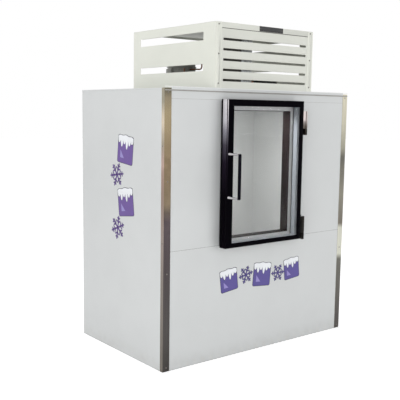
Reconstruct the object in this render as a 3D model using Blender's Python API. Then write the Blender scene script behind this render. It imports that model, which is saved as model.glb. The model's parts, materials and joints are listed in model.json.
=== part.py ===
"""A walk-in-store ice merchandiser, in metres, standing on the floor with +Z up.

The origin is the middle of the cabinet's footprint, +X runs to the right along the front, and
the door opens towards -Y. The foamed cabinet carries a glass door hung on its right, a cold
coil and fan under its ceiling, and a louvred housing over the condensing unit on its roof.
"""

import math

import bmesh
import bpy
from mathutils import Matrix, Vector

# Clearances shared by every piece
GAP = 0.0003
OVERRUN = 0.010
SMOOTH_ANGLE = math.radians(35)

# Cabinet shell
CABINET_WIDTH = 1.5155
CABINET_DEPTH = 0.918
CABINET_HEIGHT = 1.620
WALL = 0.0635
SKIN = 0.0008
LINER = 0.0008
BASE_SHEET = 0.002
ROOF_SHEET = 0.001
SEAM_HEIGHT = 0.700
HEADER_HEIGHT = 0.0580
SEAM_GAP = 0.0012

# Raised band round the roof
ROOF_BAND = 0.003
ROOF_BAND_RISE = 0.010
ROOF_BAND_DROP = 0.008
ROOF_LIP = 0.0008

# Polished corner angles, and the heads of the case's screws
TRIM_FRONT_LEG = 0.046
TRIM_SIDE_LEG = 0.025
TRIM_SHEET = 0.0012
SCREW_RADIUS = 0.0045
SCREW_HEIGHT = 0.0018
SCREW_SIDES = 10
TRIM_SCREW_INSET = 0.024
TRIM_SCREW_END_INSET = 0.024
TRIM_SCREW_shares = (0, 0.35, 0.685, 1)
SIDE_SCREW_INSET = 0.014
SIDE_SCREW_shares = (0.123, 0.463, 0.802)

# Door, and the doorway behind it
DOOR_LEFT = -0.360
DOOR_WIDTH = 0.625
DOOR_BOTTOM = 0.690
DOOR_DROP = 0.054
DOOR_THICKNESS = 0.060
DOOR_STANDOFF = 0.015
STILE_LEFT = 0.044
STILE_RIGHT = 0.030
RAIL_TOP = 0.039
RAIL_BOTTOM = 0.029
DOOR_LIP = 0.005
DOOR_EDGE = 0.007
DOOR_EDGE_STEPS = 3
GROOVE_PLACE = 0.012
GROOVE_WIDTH = 0.0020
DOOR_EDGE_share = 0.16
GROOVE_DEPTH_share = 0.04
REBATE_share = 0.27
PANE = 0.004
PANE_CLEARANCE = 0.0005
SPACER_DEPTH = 0.012
SPACER_WIDTH = 0.008
SPACER_INSET = 0.002
BEAD_SETBACK = 0.001
GASKET_INSET = 0.005
GASKET_WIDTH = 0.019
GASKET_TAPER = 0.003
DOORWAY_SIDE_MARGIN = 0.0485
DOORWAY_TOP_MARGIN = 0.066
DOORWAY_BOTTOM_MARGIN = 0.0485
JAMB = 0.004

# Door handle
HANDLE_INSET = 0.014
HANDLE_LIFT = 0.305
HANDLE_SPAN = 0.255
POST_RADIUS = 0.0065
POST_LENGTH = 0.082
POST_FOOT_RADIUS = 0.010
POST_FOOT_HEIGHT = 0.004
GRIP_WIDTH = 0.018
GRIP_DEPTH = 0.018
GRIP_END = 0.005
GRIP_ROUND = 0.005
ROUND_STEPS = 2

# Door hinges
HINGE_HEIGHT = 0.150
HINGE_REACH = 0.037
HINGE_PROUD = 0.056
LOWER_HINGE_DROP = 0.007
UPPER_HINGE_DROP = 0.212
FIXED_KNUCKLE_HEIGHT = 0.040
KNUCKLE_RADIUS = 0.011
HINGE_PIN_RADIUS = 0.005
KNUCKLE_CAP = 0.004
HINGE_PLATE = 0.004
HINGE_PLATE_LEFT = 0.020
HINGE_PLATE_RIGHT = 0.040
HINGE_WEB = 0.010
LEAF_SETBACK = 0.008
STRAP_DEPTH = 0.016
ROUND_SIDES = 20

# Racks on the compartment's floor
RACK_CLEARANCE = 0.004
RACK_BACK_CLEARANCE = 0.024
RUNNER_SIZE = 0.020
RUNNER_INSET = 0.110
SLAT_COUNT = 12
SLAT_WIDTH = 0.030
SLAT_THICKNESS = 0.003
WELD = 0.0005

# Floor drain and drain pipes
DRAIN_LEFT_INSET = 0.060
DRAIN_BACK_INSET = 0.050
DRAIN_FLANGE_RADIUS = 0.030
DRAIN_FLANGE = 0.002
DRAIN_SPIGOT_RADIUS = 0.014
DRAIN_SPIGOT_LENGTH = 0.012
DRAIN_BORE_RADIUS = 0.006
DRAIN_PIPE_RADIUS = 0.008
DRAIN_PIPE_HEIGHT = 0.022
DRAIN_BEND_share = 1.05
DRAIN_STUB = 0.018
HOSE_RADIUS = 0.009
HOSE_WALL_INSET = 0.011
HOSE_FLOOR_GAP = 0.012

# Cold coil, fan and pan under the ceiling
EVAPORATOR_LINE_MARGIN = 0.0355
EVAPORATOR_WIDTH = 0.600
EVAPORATOR_DEPTH = 0.250
EVAPORATOR_HEIGHT = 0.180
EVAPORATOR_BACK_INSET = 0.030
EVAPORATOR_SHEET = 0.0012
EVAPORATOR_BAY = 0.060
COIL_DEPTH = 0.110
COIL_DROP = 0.012
COIL_END_PLATE = 0.002
EVAPORATOR_FINS = 26
CONDENSER_FINS = 24
FIN = 0.0015
COIL_WEB_share = 0.2
COLD_FAN_RADIUS = 0.070
COLD_FAN_CLEARANCE = 0.006
COLD_FAN_SETBACK = 0.010
FAN_HUB_RADIUS = 0.022
FAN_HUB_LENGTH = 0.022
FAN_BLADE = 0.002
FAN_BLADE_COUNT = 5
FAN_BLADE_ROOT_WIDTH = 0.022
FAN_BLADE_TIP_WIDTH = 0.052
FAN_BLADE_PITCH = math.radians(24)
COLD_MOTOR_RADIUS = 0.028
COLD_MOTOR_LENGTH = 0.050
MOTOR_SHAFT_RADIUS = 0.004
MOTOR_SHAFT_LENGTH = 0.008
MOTOR_ARM = 0.012
GUARD_WIRE = 0.003
GUARD_RING_COUNT = 3
GUARD_RING_SIDES = 20
PAN_SHEET = 0.0015
PAN_DEPTH = 0.016
PAN_OVERHANG = 0.008
PAN_HANGER = 0.006

# Light behind the doorway's head
LIGHT_LENGTH = 0.400
LIGHT_WIDTH = 0.046
LIGHT_HEIGHT = 0.018
LIGHT_SETBACK = 0.020
LENS_DROP = 0.014
LENS_STEPS = 6
LENS_INSET = 0.003

# Louvred housing on the roof
HOUSING_WIDTH = 0.805
HOUSING_HEIGHT = 0.3875
HOUSING_BACK_INSET = 0.061
HOUSING_SHEET = 0.0012
HOUSING_FLANGE = 0.047
HOUSING_FOOT = 0.015
COVER_LIP = 0.032
COVER_BACK_LIP = 0.015
SIDE_SLOT_FRONT_INSET = 0.113
SIDE_SLOT_BACK_INSET = 0.083
UPPER_SLOT_HEIGHT = 0.048
UPPER_SLOT_DROP = 0.1005
LOWER_SLOT_HEIGHT = 0.040
LOWER_SLOT_BOTTOM = 0.110
SLOT_LIP = 0.015
LOUVRE_MARGIN = 0.060
LOUVRE_HEIGHT = 0.014
LOUVRE_FIRST = 0.057
LOUVRE_LAST_DROP = 0.0955
LOUVRE_COUNT = 5
LOUVRE_LIP = 0.012
HOUSING_SCREW_INSET = 0.0245
HOUSING_SCREW_DROP_shares = (0.035, 0.468, 0.907)
BADGE_LEFT = -0.063
BADGE_WIDTH = 0.196
BADGE_HEIGHT = 0.030
BADGE_THICKNESS = 0.0015
BADGE_TOP_INSET = 0.001

# Condensing unit
TRAY_LEFT_INSET = 0.026
TRAY_WIDTH = 0.395
TRAY_FRONT_INSET = 0.026
TRAY_BACK_INSET = 0.016
TRAY_HEIGHT = 0.020
TRAY_SHEET = 0.002
CONDENSER_INSET = 0.012
CONDENSER_WIDTH = 0.285
CONDENSER_HEADROOM = 0.0669
CONDENSER_DEPTH = 0.048
CONDENSER_FRONT_INSET = 0.020
SHROUD_SHEET = 0.0012
SHROUD_DEPTH = 0.050
FAN_MARGIN = 0.030
FAN_CLEARANCE = 0.008
MOTOR_RADIUS = 0.042
MOTOR_LENGTH = 0.080
POST_WIDTH = 0.050
POST_DEPTH = 0.030
COMPRESSOR_RIGHT_INSET = 0.118
COMPRESSOR_BACK_INSET = 0.112
COMPRESSOR_RADIUS = 0.095
COMPRESSOR_HEIGHT = 0.210
COMPRESSOR_SEAM = 0.006
COMPRESSOR_DOME_share = 0.28
COMPRESSOR_SEAM_HEIGHT_share = 0.62
DOME_SHOULDER_shares = (0.8, 0.4)
FOOT_PLATE = 0.003
FOOT_RADIUS = 0.015
FOOT_HEIGHT = 0.012
FOOT_INSET = 0.004
FOOT_SIDES = 12
TERMINAL_WIDTH = 0.060
TERMINAL_DEPTH = 0.030
TERMINAL_HEIGHT = 0.070
RECEIVER_TRAY_CLEARANCE = 0.0915
RECEIVER_RIGHT_INSET = 0.0825
RECEIVER_FRONT_INSET = 0.255
RECEIVER_RADIUS = 0.042
RECEIVER_LIFT = 0.012
RECEIVER_DOME = 0.020
TANK_DOME_shares = (0.7, 0.3)
SADDLE_WIDTH = 0.020
SADDLE_SPREAD_share = 0.3
SADDLE_DEPTH_share = 1.2

# Refrigerant lines
LINE_RADIUS = 0.005
SUCTION_RADIUS = 0.011
LINE_BEND = 0.020
LINE_BEND_STEPS = 4
LINE_SIDES = 8
LINE_AISLE = 0.030
LINE_PASS_share = 0.25
SUCTION_LIFT = 0.100
LIQUID_OFFSET = 0.050
LIQUID_RIGHT_INSET = 0.042
DRIER_RADIUS = 0.014
DRIER_LENGTH = 0.100
DRIER_START = 0.150
CONDENSER_INLET_share = 0.85
CONDENSER_OUTLET_share = 0.12
DISCHARGE_LIFT_share = 0.55
COIL_INLET_share = 0.45

# Control box at the back of the housing
CONTROL_WIDTH = 0.170
CONTROL_DEPTH = 0.120
CONTROL_HEIGHT = 0.160
CONTROL_RIGHT_INSET = 0.030
CONTROL_BACK_INSET = 0.020
KNOB_RADIUS = 0.018
KNOB_HEIGHT = 0.016
KNOB_SKIRT_RADIUS = 0.022
KNOB_SKIRT = 0.003
KNOB_POINTER = 0.003
KNOB_PLACE_share = (0.28, 0.70)
SWITCH_WIDTH = 0.020
SWITCH_HEIGHT = 0.030
SWITCH_THICKNESS = 0.006
SWITCH_TILT = math.radians(8)
SWITCH_FRAME = 0.004
SWITCH_POCKET = 0.012
SWITCH_PLACE_share = (0.72, 0.70)
GLAND_RADIUS = 0.013
GLAND_LENGTH = 0.018
GLAND_TIP_share = 0.8
GLAND_NUT_RADIUS = 0.018
GLAND_NUT_LENGTH = 0.007
GLAND_PLACE_share = (0.50, 0.22)

# Places that follow from the sizes above
RIGHT = CABINET_WIDTH / 2
LEFT = -RIGHT
FRONT = -CABINET_DEPTH / 2
BACK = -FRONT
INNER_RIGHT = RIGHT - WALL
INNER_LEFT = -INNER_RIGHT
INNER_FRONT = FRONT + WALL
INNER_BACK = -INNER_FRONT
INNER_FLOOR = WALL
INNER_CEILING = CABINET_HEIGHT - WALL
SHELL_BOTTOM = BASE_SHEET + GAP
SHELL_TOP = CABINET_HEIGHT - ROOF_SHEET - GAP
HEADER_BOTTOM = CABINET_HEIGHT - HEADER_HEIGHT
DOOR_RIGHT = DOOR_LEFT + DOOR_WIDTH
DOOR_TOP = CABINET_HEIGHT - DOOR_DROP
DOOR_BACK = FRONT - DOOR_STANDOFF
DOOR_FRONT = DOOR_BACK - DOOR_THICKNESS
HANDLE_BOTTOM = DOOR_BOTTOM + HANDLE_LIFT
PIN_X = DOOR_RIGHT + HINGE_REACH
PIN_Y = FRONT - HINGE_PROUD
ROOF = CABINET_HEIGHT
HOUSING_TOP = ROOF + HOUSING_HEIGHT
HOUSING_BACK = BACK - HOUSING_BACK_INSET
HOUSING_RIGHT = HOUSING_WIDTH / 2
CONDENSER_HEIGHT = HOUSING_HEIGHT - TRAY_HEIGHT - GAP * 2 - CONDENSER_HEADROOM
FAN_RADIUS = CONDENSER_HEIGHT / 2 - FAN_MARGIN
LOUVRE_PITCH = (HOUSING_HEIGHT - LOUVRE_FIRST - LOUVRE_LAST_DROP) / (LOUVRE_COUNT - 1)


def clear_scene():
    """Removes everything that the start-up file holds."""
    for obj in list(bpy.data.objects):
        bpy.data.objects.remove(obj, do_unlink=True)


def finish(name, colour, roughness, metallic=0.0, alpha=1.0):
    """Makes a material from a colour, a roughness and how metallic it is."""
    material = bpy.data.materials.new(name)
    material.use_nodes = True
    shader = material.node_tree.nodes["Principled BSDF"]
    shader.inputs["Base Color"].default_value = (*colour, 1.0)
    shader.inputs["Roughness"].default_value = roughness
    shader.inputs["Metallic"].default_value = metallic
    shader.inputs["Alpha"].default_value = alpha
    material.diffuse_color = (*colour, alpha)
    return material


def finishes():
    """Makes every material of the merchandiser."""
    return {
        "white": finish("white_enamel", (0.62, 0.64, 0.64), 0.35),
        "cream": finish("cream_enamel", (0.66, 0.67, 0.61), 0.45),
        "liner": finish("white_liner", (0.80, 0.81, 0.80), 0.35),
        "foam": finish("insulating_foam", (0.80, 0.72, 0.45), 0.90),
        "galvanised": finish("galvanised_steel", (0.55, 0.57, 0.58), 0.40, 1.0),
        "polished": finish("polished_stainless", (0.70, 0.67, 0.62), 0.12, 1.0),
        "jamb": finish("dark_bronze_jamb", (0.030, 0.024, 0.022), 0.40),
        "door": finish("black_door_frame", (0.012, 0.011, 0.016), 0.16),
        "glass": finish("clear_glass", (0.90, 0.94, 0.93), 0.02, 0.0, 0.15),
        "spacer": finish("glass_spacer_metal", (0.50, 0.53, 0.56), 0.35, 1.0),
        "bead": finish("grey_bead", (0.42, 0.46, 0.50), 0.35),
        "rubber": finish("black_rubber", (0.020, 0.020, 0.020), 0.70),
        "chrome": finish("chrome_plate", (0.78, 0.78, 0.78), 0.08, 1.0),
        "grip": finish("black_grip", (0.015, 0.015, 0.017), 0.35),
        "black": finish("black_machine_paint", (0.020, 0.020, 0.022), 0.45),
        "copper": finish("copper_line", (0.70, 0.34, 0.20), 0.30, 1.0),
        "aluminium": finish("aluminium_fins", (0.70, 0.71, 0.72), 0.35, 1.0),
        "fan": finish("grey_fan", (0.32, 0.33, 0.34), 0.45),
        "lens": finish("light_lens", (0.92, 0.92, 0.88), 0.40, 0.0, 0.6),
        "drain": finish("white_pipe", (0.78, 0.78, 0.76), 0.40),
        "badge": finish("dark_badge", (0.10, 0.10, 0.105), 0.40),
        "control": finish("grey_control_box", (0.36, 0.37, 0.37), 0.50),
        "switch": finish("switch_black", (0.015, 0.015, 0.015), 0.30),
    }


def box(bm, low, high):
    """Adds a box between two opposite corners, each face exactly at its coordinate."""
    cube = bmesh.ops.create_cube(bm, size=1)
    for vert in cube["verts"]:
        vert.co = [high[i] if vert.co[i] > 0 else low[i] for i in range(3)]


def rod(bm, start, end, radius, sides=ROUND_SIDES, end_radius=None):
    """Adds a closed round rod, or a cone, between two points."""
    start, end = Vector(start), Vector(end)
    run = end - start
    turn = run.to_track_quat("Z", "Y").to_matrix().to_4x4()
    bmesh.ops.create_cone(
        bm,
        cap_ends=True,
        segments=sides,
        radius1=radius,
        radius2=radius if end_radius is None else end_radius,
        depth=run.length,
        matrix=Matrix.Translation((start + end) / 2) @ turn,
    )


def along(axis, across, level):
    """The point that lies at level on an axis and at two other coordinates, in X, Y, Z order."""
    point = list(across)
    point.insert("XYZ".index(axis), level)
    return Vector(point)


def prism(bm, outline, axis, low, high):
    """Adds a closed outline drawn across an axis, extruded from low to high along it."""
    face = bm.faces.new([bm.verts.new(along(axis, point, low)) for point in outline])
    swept = bmesh.ops.extrude_face_region(bm, geom=[face])
    moved = [item for item in swept["geom"] if isinstance(item, bmesh.types.BMVert)]
    bmesh.ops.translate(bm, verts=moved, vec=along(axis, (0, 0), high) - along(axis, (0, 0), low))


def turned(bm, profile, centre, axis, sides=ROUND_SIDES):
    """Spins a profile of (radius, height) points about an axis through a centre."""
    line = Vector(along(axis, (0, 0), 1))
    side = Vector((1, 0, 0)) if axis != "X" else Vector((0, 1, 0))
    centre = Vector(centre)
    verts = [bm.verts.new(centre + side * radius + line * height) for radius, height in profile]
    edges = [bm.edges.new(pair) for pair in zip(verts, verts[1:])]
    bmesh.ops.spin(
        bm, geom=verts + edges, cent=centre, axis=line, angle=math.tau, steps=sides, use_merge=True
    )
    bmesh.ops.remove_doubles(bm, verts=bm.verts, dist=GAP / 10)


def turned_ring(bm, profile, centre, axis, sides=ROUND_SIDES):
    """Spins a closed profile that stays clear of the axis, so the result has a bore."""
    turned(bm, [*profile, profile[0]], centre, axis, sides)


def window_frame(bm, loops):
    """Adds a frame round an opening, from rectangles (x low, x high, z low, z high, y) in turn."""
    rings = []
    for left, right, bottom, top, y in loops:
        corners = [(left, y, bottom), (right, y, bottom), (right, y, top), (left, y, top)]
        rings.append([bm.verts.new(corner) for corner in corners])
    for ring, following in zip(rings, rings[1:] + rings[:1]):
        for index in range(len(ring)):
            after = (index + 1) % len(ring)
            bm.faces.new([ring[index], ring[after], following[after], following[index]])


def grown(rect, margin):
    """A rectangle (left, right, bottom, top) moved outwards by a margin on every side."""
    left, right, bottom, top = rect
    return left - margin, right + margin, bottom - margin, top + margin


def plate_with_window(outer, window, low_y, high_y):
    """A flat plate between two depths, with a rectangular window through it."""
    bm = bmesh.new()
    loops = [(*outer, low_y), (*outer, high_y), (*window, high_y), (*window, low_y)]
    window_frame(bm, loops)
    return bm


def shape(add, *calls):
    """A new mesh made by calling one shape maker once for each set of arguments."""
    bm = bmesh.new()
    for call in calls:
        add(bm, *call)
    return bm


def to_object(name, bm):
    """Turns a mesh into an object with its faces pointing out."""
    bmesh.ops.recalc_face_normals(bm, faces=bm.faces)
    mesh = bpy.data.meshes.new(name)
    bm.to_mesh(mesh)
    bm.free()
    obj = bpy.data.objects.new(name, mesh)
    bpy.context.scene.collection.objects.link(obj)
    return obj


def piece(name, bm, material, joined=(), cut=(), added=()):
    """Makes a named piece: meshes are joined to it, others are cut from it, and more are added."""
    obj = to_object(name, bm)
    obj.data.materials.append(material)
    obj.data.shade_smooth()
    obj.data.set_sharp_from_angle(angle=SMOOTH_ANGLE)
    changes = [(mesh, "UNION") for mesh in joined]
    changes += [(mesh, "DIFFERENCE") for mesh in cut]
    changes += [(mesh, "UNION") for mesh in added]
    for index, (mesh, operation) in enumerate(changes):
        tool = to_object(f"{name}_tool_{index}", mesh)
        tool.hide_render = True
        tool.display_type = "WIRE"
        tool.parent = obj
        change = obj.modifiers.new(f"{operation.title()}_{index}", "BOOLEAN")
        change.operation = operation
        change.solver = "EXACT"
        change.object = tool
    return obj


def rounded(obj, width, steps=ROUND_STEPS):
    """Rounds the sharp edges of a piece."""
    change = obj.modifiers.new("Bevel", "BEVEL")
    change.width = width
    change.segments = steps
    change.limit_method = "ANGLE"
    change.use_clamp_overlap = True
    return obj


def on_axis(name, place, pieces):
    """Hangs pieces on an empty that stands on their joint's axis, leaving their shapes in place."""
    axis = bpy.data.objects.new(name, None)
    axis.location = place
    bpy.context.scene.collection.objects.link(axis)
    shift = Matrix.Translation(-Vector(place))
    for obj in pieces:
        obj.parent = axis
        for part in [obj, *obj.children]:
            part.data.transform(shift)


def bent_route(points, bend):
    """The points of a line whose corners are rounded with one bend radius."""
    points = [Vector(point) for point in points]
    route = [points[0]]
    for before, corner, after in zip(points, points[1:], points[2:]):
        back = (before - corner).normalized()
        onward = (after - corner).normalized()
        reach = bend / math.tan(back.angle(onward) / 2)
        middle = corner + (back + onward).normalized() * math.hypot(reach, bend)
        first = corner + back * reach - middle
        last = corner + onward * reach - middle
        sweep = first.angle(last)
        for step in range(LINE_BEND_STEPS + 1):
            share = step / LINE_BEND_STEPS
            start_part = first * math.sin((1 - share) * sweep)
            route.append(middle + (start_part + last * math.sin(share * sweep)) / math.sin(sweep))
    route.append(points[-1])
    return route


def pipe(bm, points, radius, sides, bend):
    """Adds a closed round pipe that follows a route with rounded corners."""
    route = bent_route(points, bend)
    rings = []
    side = None
    for index, place in enumerate(route):
        before = route[max(index - 1, 0)]
        after = route[min(index + 1, len(route) - 1)]
        forward = (after - before).normalized()
        if side is None:
            side = forward.orthogonal().normalized()
        side = (side - forward * side.dot(forward)).normalized()
        up = forward.cross(side)
        turns = [math.tau * step / sides for step in range(sides)]
        ring = [place + (side * math.cos(turn) + up * math.sin(turn)) * radius for turn in turns]
        rings.append([bm.verts.new(point) for point in ring])
    for ring, following in zip(rings, rings[1:]):
        for index in range(sides):
            after = (index + 1) % sides
            bm.faces.new([ring[index], ring[after], following[after], following[index]])
    bm.faces.new(rings[0])
    bm.faces.new(rings[-1])


def doorway():
    """The clear doorway as (left, right, bottom, top)."""
    return (
        DOOR_LEFT + DOORWAY_SIDE_MARGIN,
        DOOR_RIGHT - DOORWAY_SIDE_MARGIN,
        DOOR_BOTTOM + DOORWAY_BOTTOM_MARGIN,
        DOOR_TOP - DOORWAY_TOP_MARGIN,
    )


def drain_place():
    """Where the floor drain stands, as X and Y."""
    return INNER_LEFT + DRAIN_LEFT_INSET, INNER_BACK - DRAIN_BACK_INSET


def line_passes():
    """Where the suction and liquid lines pass the roof, as X and Y, with the radius of each."""
    tray_right = tray_box()[1]
    x = tray_right + (control_box_low().x - tray_right) * LINE_PASS_share
    y = compressor_place()[1]
    return [(x, y, SUCTION_RADIUS), (x, y - LIQUID_OFFSET, LINE_RADIUS)]


def pass_cutters(low, high):
    """Round cutters for the two lines between two heights."""
    bm = bmesh.new()
    for x, y, radius in line_passes():
        rod(bm, (x, y, low), (x, y, high), radius + GAP)
    return bm


def outer_shell(looks):
    """The painted outer skins, the base pan and the roof."""
    white = looks["white"]
    piece("base_pan", shape(box, ((LEFT, FRONT, 0), (RIGHT, BACK, BASE_SHEET))), looks["galvanised"])
    side = ((LEFT, FRONT, SHELL_BOTTOM), (LEFT + SKIN, BACK, SHELL_TOP))
    piece("left_side_skin", shape(box, side), white)
    side = ((RIGHT - SKIN, FRONT, SHELL_BOTTOM), (RIGHT, BACK, SHELL_TOP))
    piece("right_side_skin", shape(box, side), white)
    left, right = LEFT + SKIN + GAP, RIGHT - SKIN - GAP
    back = ((left, BACK - SKIN, SHELL_BOTTOM), (right, BACK, SHELL_TOP))
    x = drain_place()[0]
    hole = (x, BACK - SKIN - OVERRUN, DRAIN_PIPE_HEIGHT), (x, BACK + OVERRUN, DRAIN_PIPE_HEIGHT)
    cutter = shape(rod, (*hole, DRAIN_PIPE_RADIUS + GAP))
    piece("back_skin", shape(box, back), white, cut=[cutter])
    lower = ((left, FRONT, SHELL_BOTTOM), (right, FRONT + SKIN, SEAM_HEIGHT - SEAM_GAP / 2))
    piece("front_lower_panel", shape(box, lower), white)
    outer = (left, right, SEAM_HEIGHT + SEAM_GAP / 2, HEADER_BOTTOM - SEAM_GAP / 2)
    upper = plate_with_window(outer, grown(doorway(), JAMB + GAP), FRONT, FRONT + SKIN)
    piece("front_upper_panel", upper, white)
    header = ((left, FRONT, HEADER_BOTTOM + SEAM_GAP / 2), (right, FRONT + SKIN, SHELL_TOP))
    piece("front_header_panel", shape(box, header), white)


def roof(looks):
    """The roof sheet with its raised front band and its turned-down side and back lips."""
    sheet = ((LEFT, FRONT, CABINET_HEIGHT - ROOF_SHEET), (RIGHT, BACK, CABINET_HEIGHT))
    band_left = LEFT + TRIM_FRONT_LEG + GAP
    band_low = (band_left, FRONT - GAP - ROOF_BAND, CABINET_HEIGHT - ROOF_BAND_DROP)
    band_high = (-band_left, FRONT - GAP, CABINET_HEIGHT + ROOF_BAND_RISE)
    bridge_low = (band_left, FRONT - GAP - ROOF_BAND / 2, CABINET_HEIGHT - ROOF_SHEET)
    bridge_high = (-band_left, FRONT + OVERRUN, CABINET_HEIGHT)
    lip_front = FRONT + TRIM_SIDE_LEG + GAP
    lips = []
    for side in (-1, 1):
        outer = side * (RIGHT + GAP + ROOF_LIP)
        inner = side * (RIGHT + GAP)
        reach = side * (RIGHT - OVERRUN)
        top = CABINET_HEIGHT
        lip = (min(outer, inner), lip_front, top - ROOF_BAND_DROP), (max(outer, inner), BACK, top)
        shelf = (min(outer, reach), lip_front, top - ROOF_SHEET), (max(outer, reach), BACK, top)
        lips += [shape(box, lip), shape(box, shelf)]
    cutter = pass_cutters(CABINET_HEIGHT - OVERRUN, CABINET_HEIGHT + OVERRUN)
    joined = [shape(box, (bridge_low, bridge_high)), shape(box, (band_low, band_high)), *lips]
    piece("roof_cap", shape(box, sheet), looks["white"], joined=joined, cut=[cutter])


def corner_trims(looks):
    """The polished angles over the two front corners."""
    for name, side in (("left_corner_trim", -1), ("right_corner_trim", 1)):
        edge = side * (RIGHT + GAP)
        face = FRONT - GAP
        outline = [
            (edge + side * TRIM_SHEET, face - TRIM_SHEET),
            (side * (RIGHT - TRIM_FRONT_LEG), face - TRIM_SHEET),
            (side * (RIGHT - TRIM_FRONT_LEG), face),
            (edge, face),
            (edge, FRONT + TRIM_SIDE_LEG),
            (edge + side * TRIM_SHEET, FRONT + TRIM_SIDE_LEG),
        ]
        angle = shape(prism, (outline, "Z", SHELL_BOTTOM, CABINET_HEIGHT))
        x, y = side * (RIGHT - TRIM_SCREW_INSET), FRONT + SIDE_SCREW_INSET
        span = CABINET_HEIGHT - TRIM_SCREW_END_INSET * 2
        rises = [TRIM_SCREW_END_INSET + span * share for share in TRIM_SCREW_shares]
        front = [(x, face - TRIM_SHEET, z) for z in rises]
        flank = [(edge + side * TRIM_SHEET, y, CABINET_HEIGHT * share) for share in SIDE_SCREW_shares]
        heads = [screw_heads(front, (0, -1, 0)), screw_heads(flank, (side, 0, 0))]
        piece(name, angle, looks["polished"], joined=heads)


def screw_heads(places, outward):
    """The heads of a row of screws that stand on a sheet, rooted halfway into it."""
    root = Vector(outward) * TRIM_SHEET / 2
    tip = Vector(outward) * SCREW_HEIGHT
    ends = [(Vector(place) - root, Vector(place) + tip) for place in places]
    return shape(rod, *((start, end, SCREW_RADIUS, SCREW_SIDES) for start, end in ends))


def insulation(looks):
    """The foam between the skins and the liner, open at the doorway."""
    low = (LEFT + SKIN + GAP, FRONT + SKIN + GAP, SHELL_BOTTOM)
    high = (RIGHT - SKIN - GAP, BACK - SKIN - GAP, SHELL_TOP)
    margin = LINER + GAP
    inside = (
        (INNER_LEFT - margin, INNER_FRONT - margin, INNER_FLOOR - margin),
        (INNER_RIGHT + margin, INNER_BACK + margin, INNER_CEILING + margin),
    )
    left, right, bottom, top = grown(doorway(), JAMB + GAP)
    through = ((left, FRONT - OVERRUN, bottom), (right, INNER_FRONT + OVERRUN, top))
    x, y = drain_place()
    trench = DRAIN_PIPE_RADIUS + GAP * 2
    drop = (x - trench, y - trench, DRAIN_PIPE_HEIGHT - trench), (x + trench, y + trench, INNER_FLOOR)
    spigot = DRAIN_SPIGOT_RADIUS + GAP * 2
    well_bottom = INNER_FLOOR - LINER - DRAIN_SPIGOT_LENGTH - GAP * 2
    well = ((x - spigot, y - spigot, well_bottom), (x + spigot, y + spigot, INNER_FLOOR))
    level = DRAIN_PIPE_HEIGHT
    run = ((x - trench, y - trench, level - trench), (x + trench, BACK + OVERRUN, level + trench))
    cuts = [shape(box, inside), shape(box, through), shape(box, drop), shape(box, well)]
    cuts += [shape(box, run), pass_cutters(INNER_CEILING - OVERRUN, CABINET_HEIGHT + OVERRUN)]
    piece("foam_insulation", shape(box, (low, high)), looks["foam"], cut=cuts)


def liner(looks):
    """The sheets that line the storage compartment, and the jamb that lines the doorway."""
    white = looks["liner"]
    left, right = INNER_LEFT, INNER_RIGHT
    floor_low = (left - LINER, INNER_FRONT - LINER, INNER_FLOOR - LINER)
    floor_high = (right + LINER, INNER_BACK + LINER, INNER_FLOOR)
    x, y = drain_place()
    low, high = INNER_FLOOR - OVERRUN, INNER_FLOOR + OVERRUN
    hole = shape(rod, ((x, y, low), (x, y, high), DRAIN_SPIGOT_RADIUS + GAP))
    piece("liner_floor", shape(box, (floor_low, floor_high)), white, cut=[hole])
    ceiling_low = (left - LINER, INNER_FRONT - LINER, INNER_CEILING)
    ceiling_high = (right + LINER, INNER_BACK + LINER, INNER_CEILING + LINER)
    cutter = pass_cutters(INNER_CEILING - OVERRUN, INNER_CEILING + OVERRUN)
    piece("liner_ceiling", shape(box, (ceiling_low, ceiling_high)), white, cut=[cutter])
    bottom, top = INNER_FLOOR + GAP, INNER_CEILING - GAP
    front, back = INNER_FRONT - LINER, INNER_BACK + LINER
    wrap = [
        (left - LINER, front),
        (left, front),
        (left, INNER_BACK),
        (right, INNER_BACK),
        (right, front),
        (right + LINER, front),
        (right + LINER, back),
        (left - LINER, back),
    ]
    piece("liner_wrap", shape(prism, (wrap, "Z", bottom, top)), white)
    outer = (left + GAP, right - GAP, bottom, top)
    window = grown(doorway(), JAMB + GAP)
    piece("liner_front_wall", plate_with_window(outer, window, front, INNER_FRONT), white)
    jamb = plate_with_window(grown(doorway(), JAMB), doorway(), FRONT, INNER_FRONT)
    piece("doorway_jamb", jamb, looks["jamb"])


def floor_racks(looks):
    """Two lift-out racks of slats on cross runners."""
    middle = GAP
    width = INNER_RIGHT - RACK_CLEARANCE - middle
    front, back = INNER_FRONT + RACK_CLEARANCE, INNER_BACK - RACK_BACK_CLEARANCE
    floor = INNER_FLOOR + GAP
    top = floor + RUNNER_SIZE
    pitch = (width - SLAT_WIDTH) / (SLAT_COUNT - 1)
    for name, left in (("floor_rack_left", -middle - width), ("floor_rack_right", middle)):
        slats = bmesh.new()
        for index in range(SLAT_COUNT):
            start = left + index * pitch
            low = (start, front, top - WELD)
            box(slats, low, (start + SLAT_WIDTH, back, top - WELD + SLAT_THICKNESS))
        runners = bmesh.new()
        inset = SLAT_WIDTH / 2
        for y in (front + RUNNER_INSET, back - RUNNER_INSET):
            low = (left + inset, y - RUNNER_SIZE / 2, floor)
            box(runners, low, (left + width - inset, y + RUNNER_SIZE / 2, top))
        rack = piece(name, runners, looks["galvanised"], joined=[slats])
        on_axis(f"{name}_lift", (left + width / 2, 0, floor), [rack])


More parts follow.
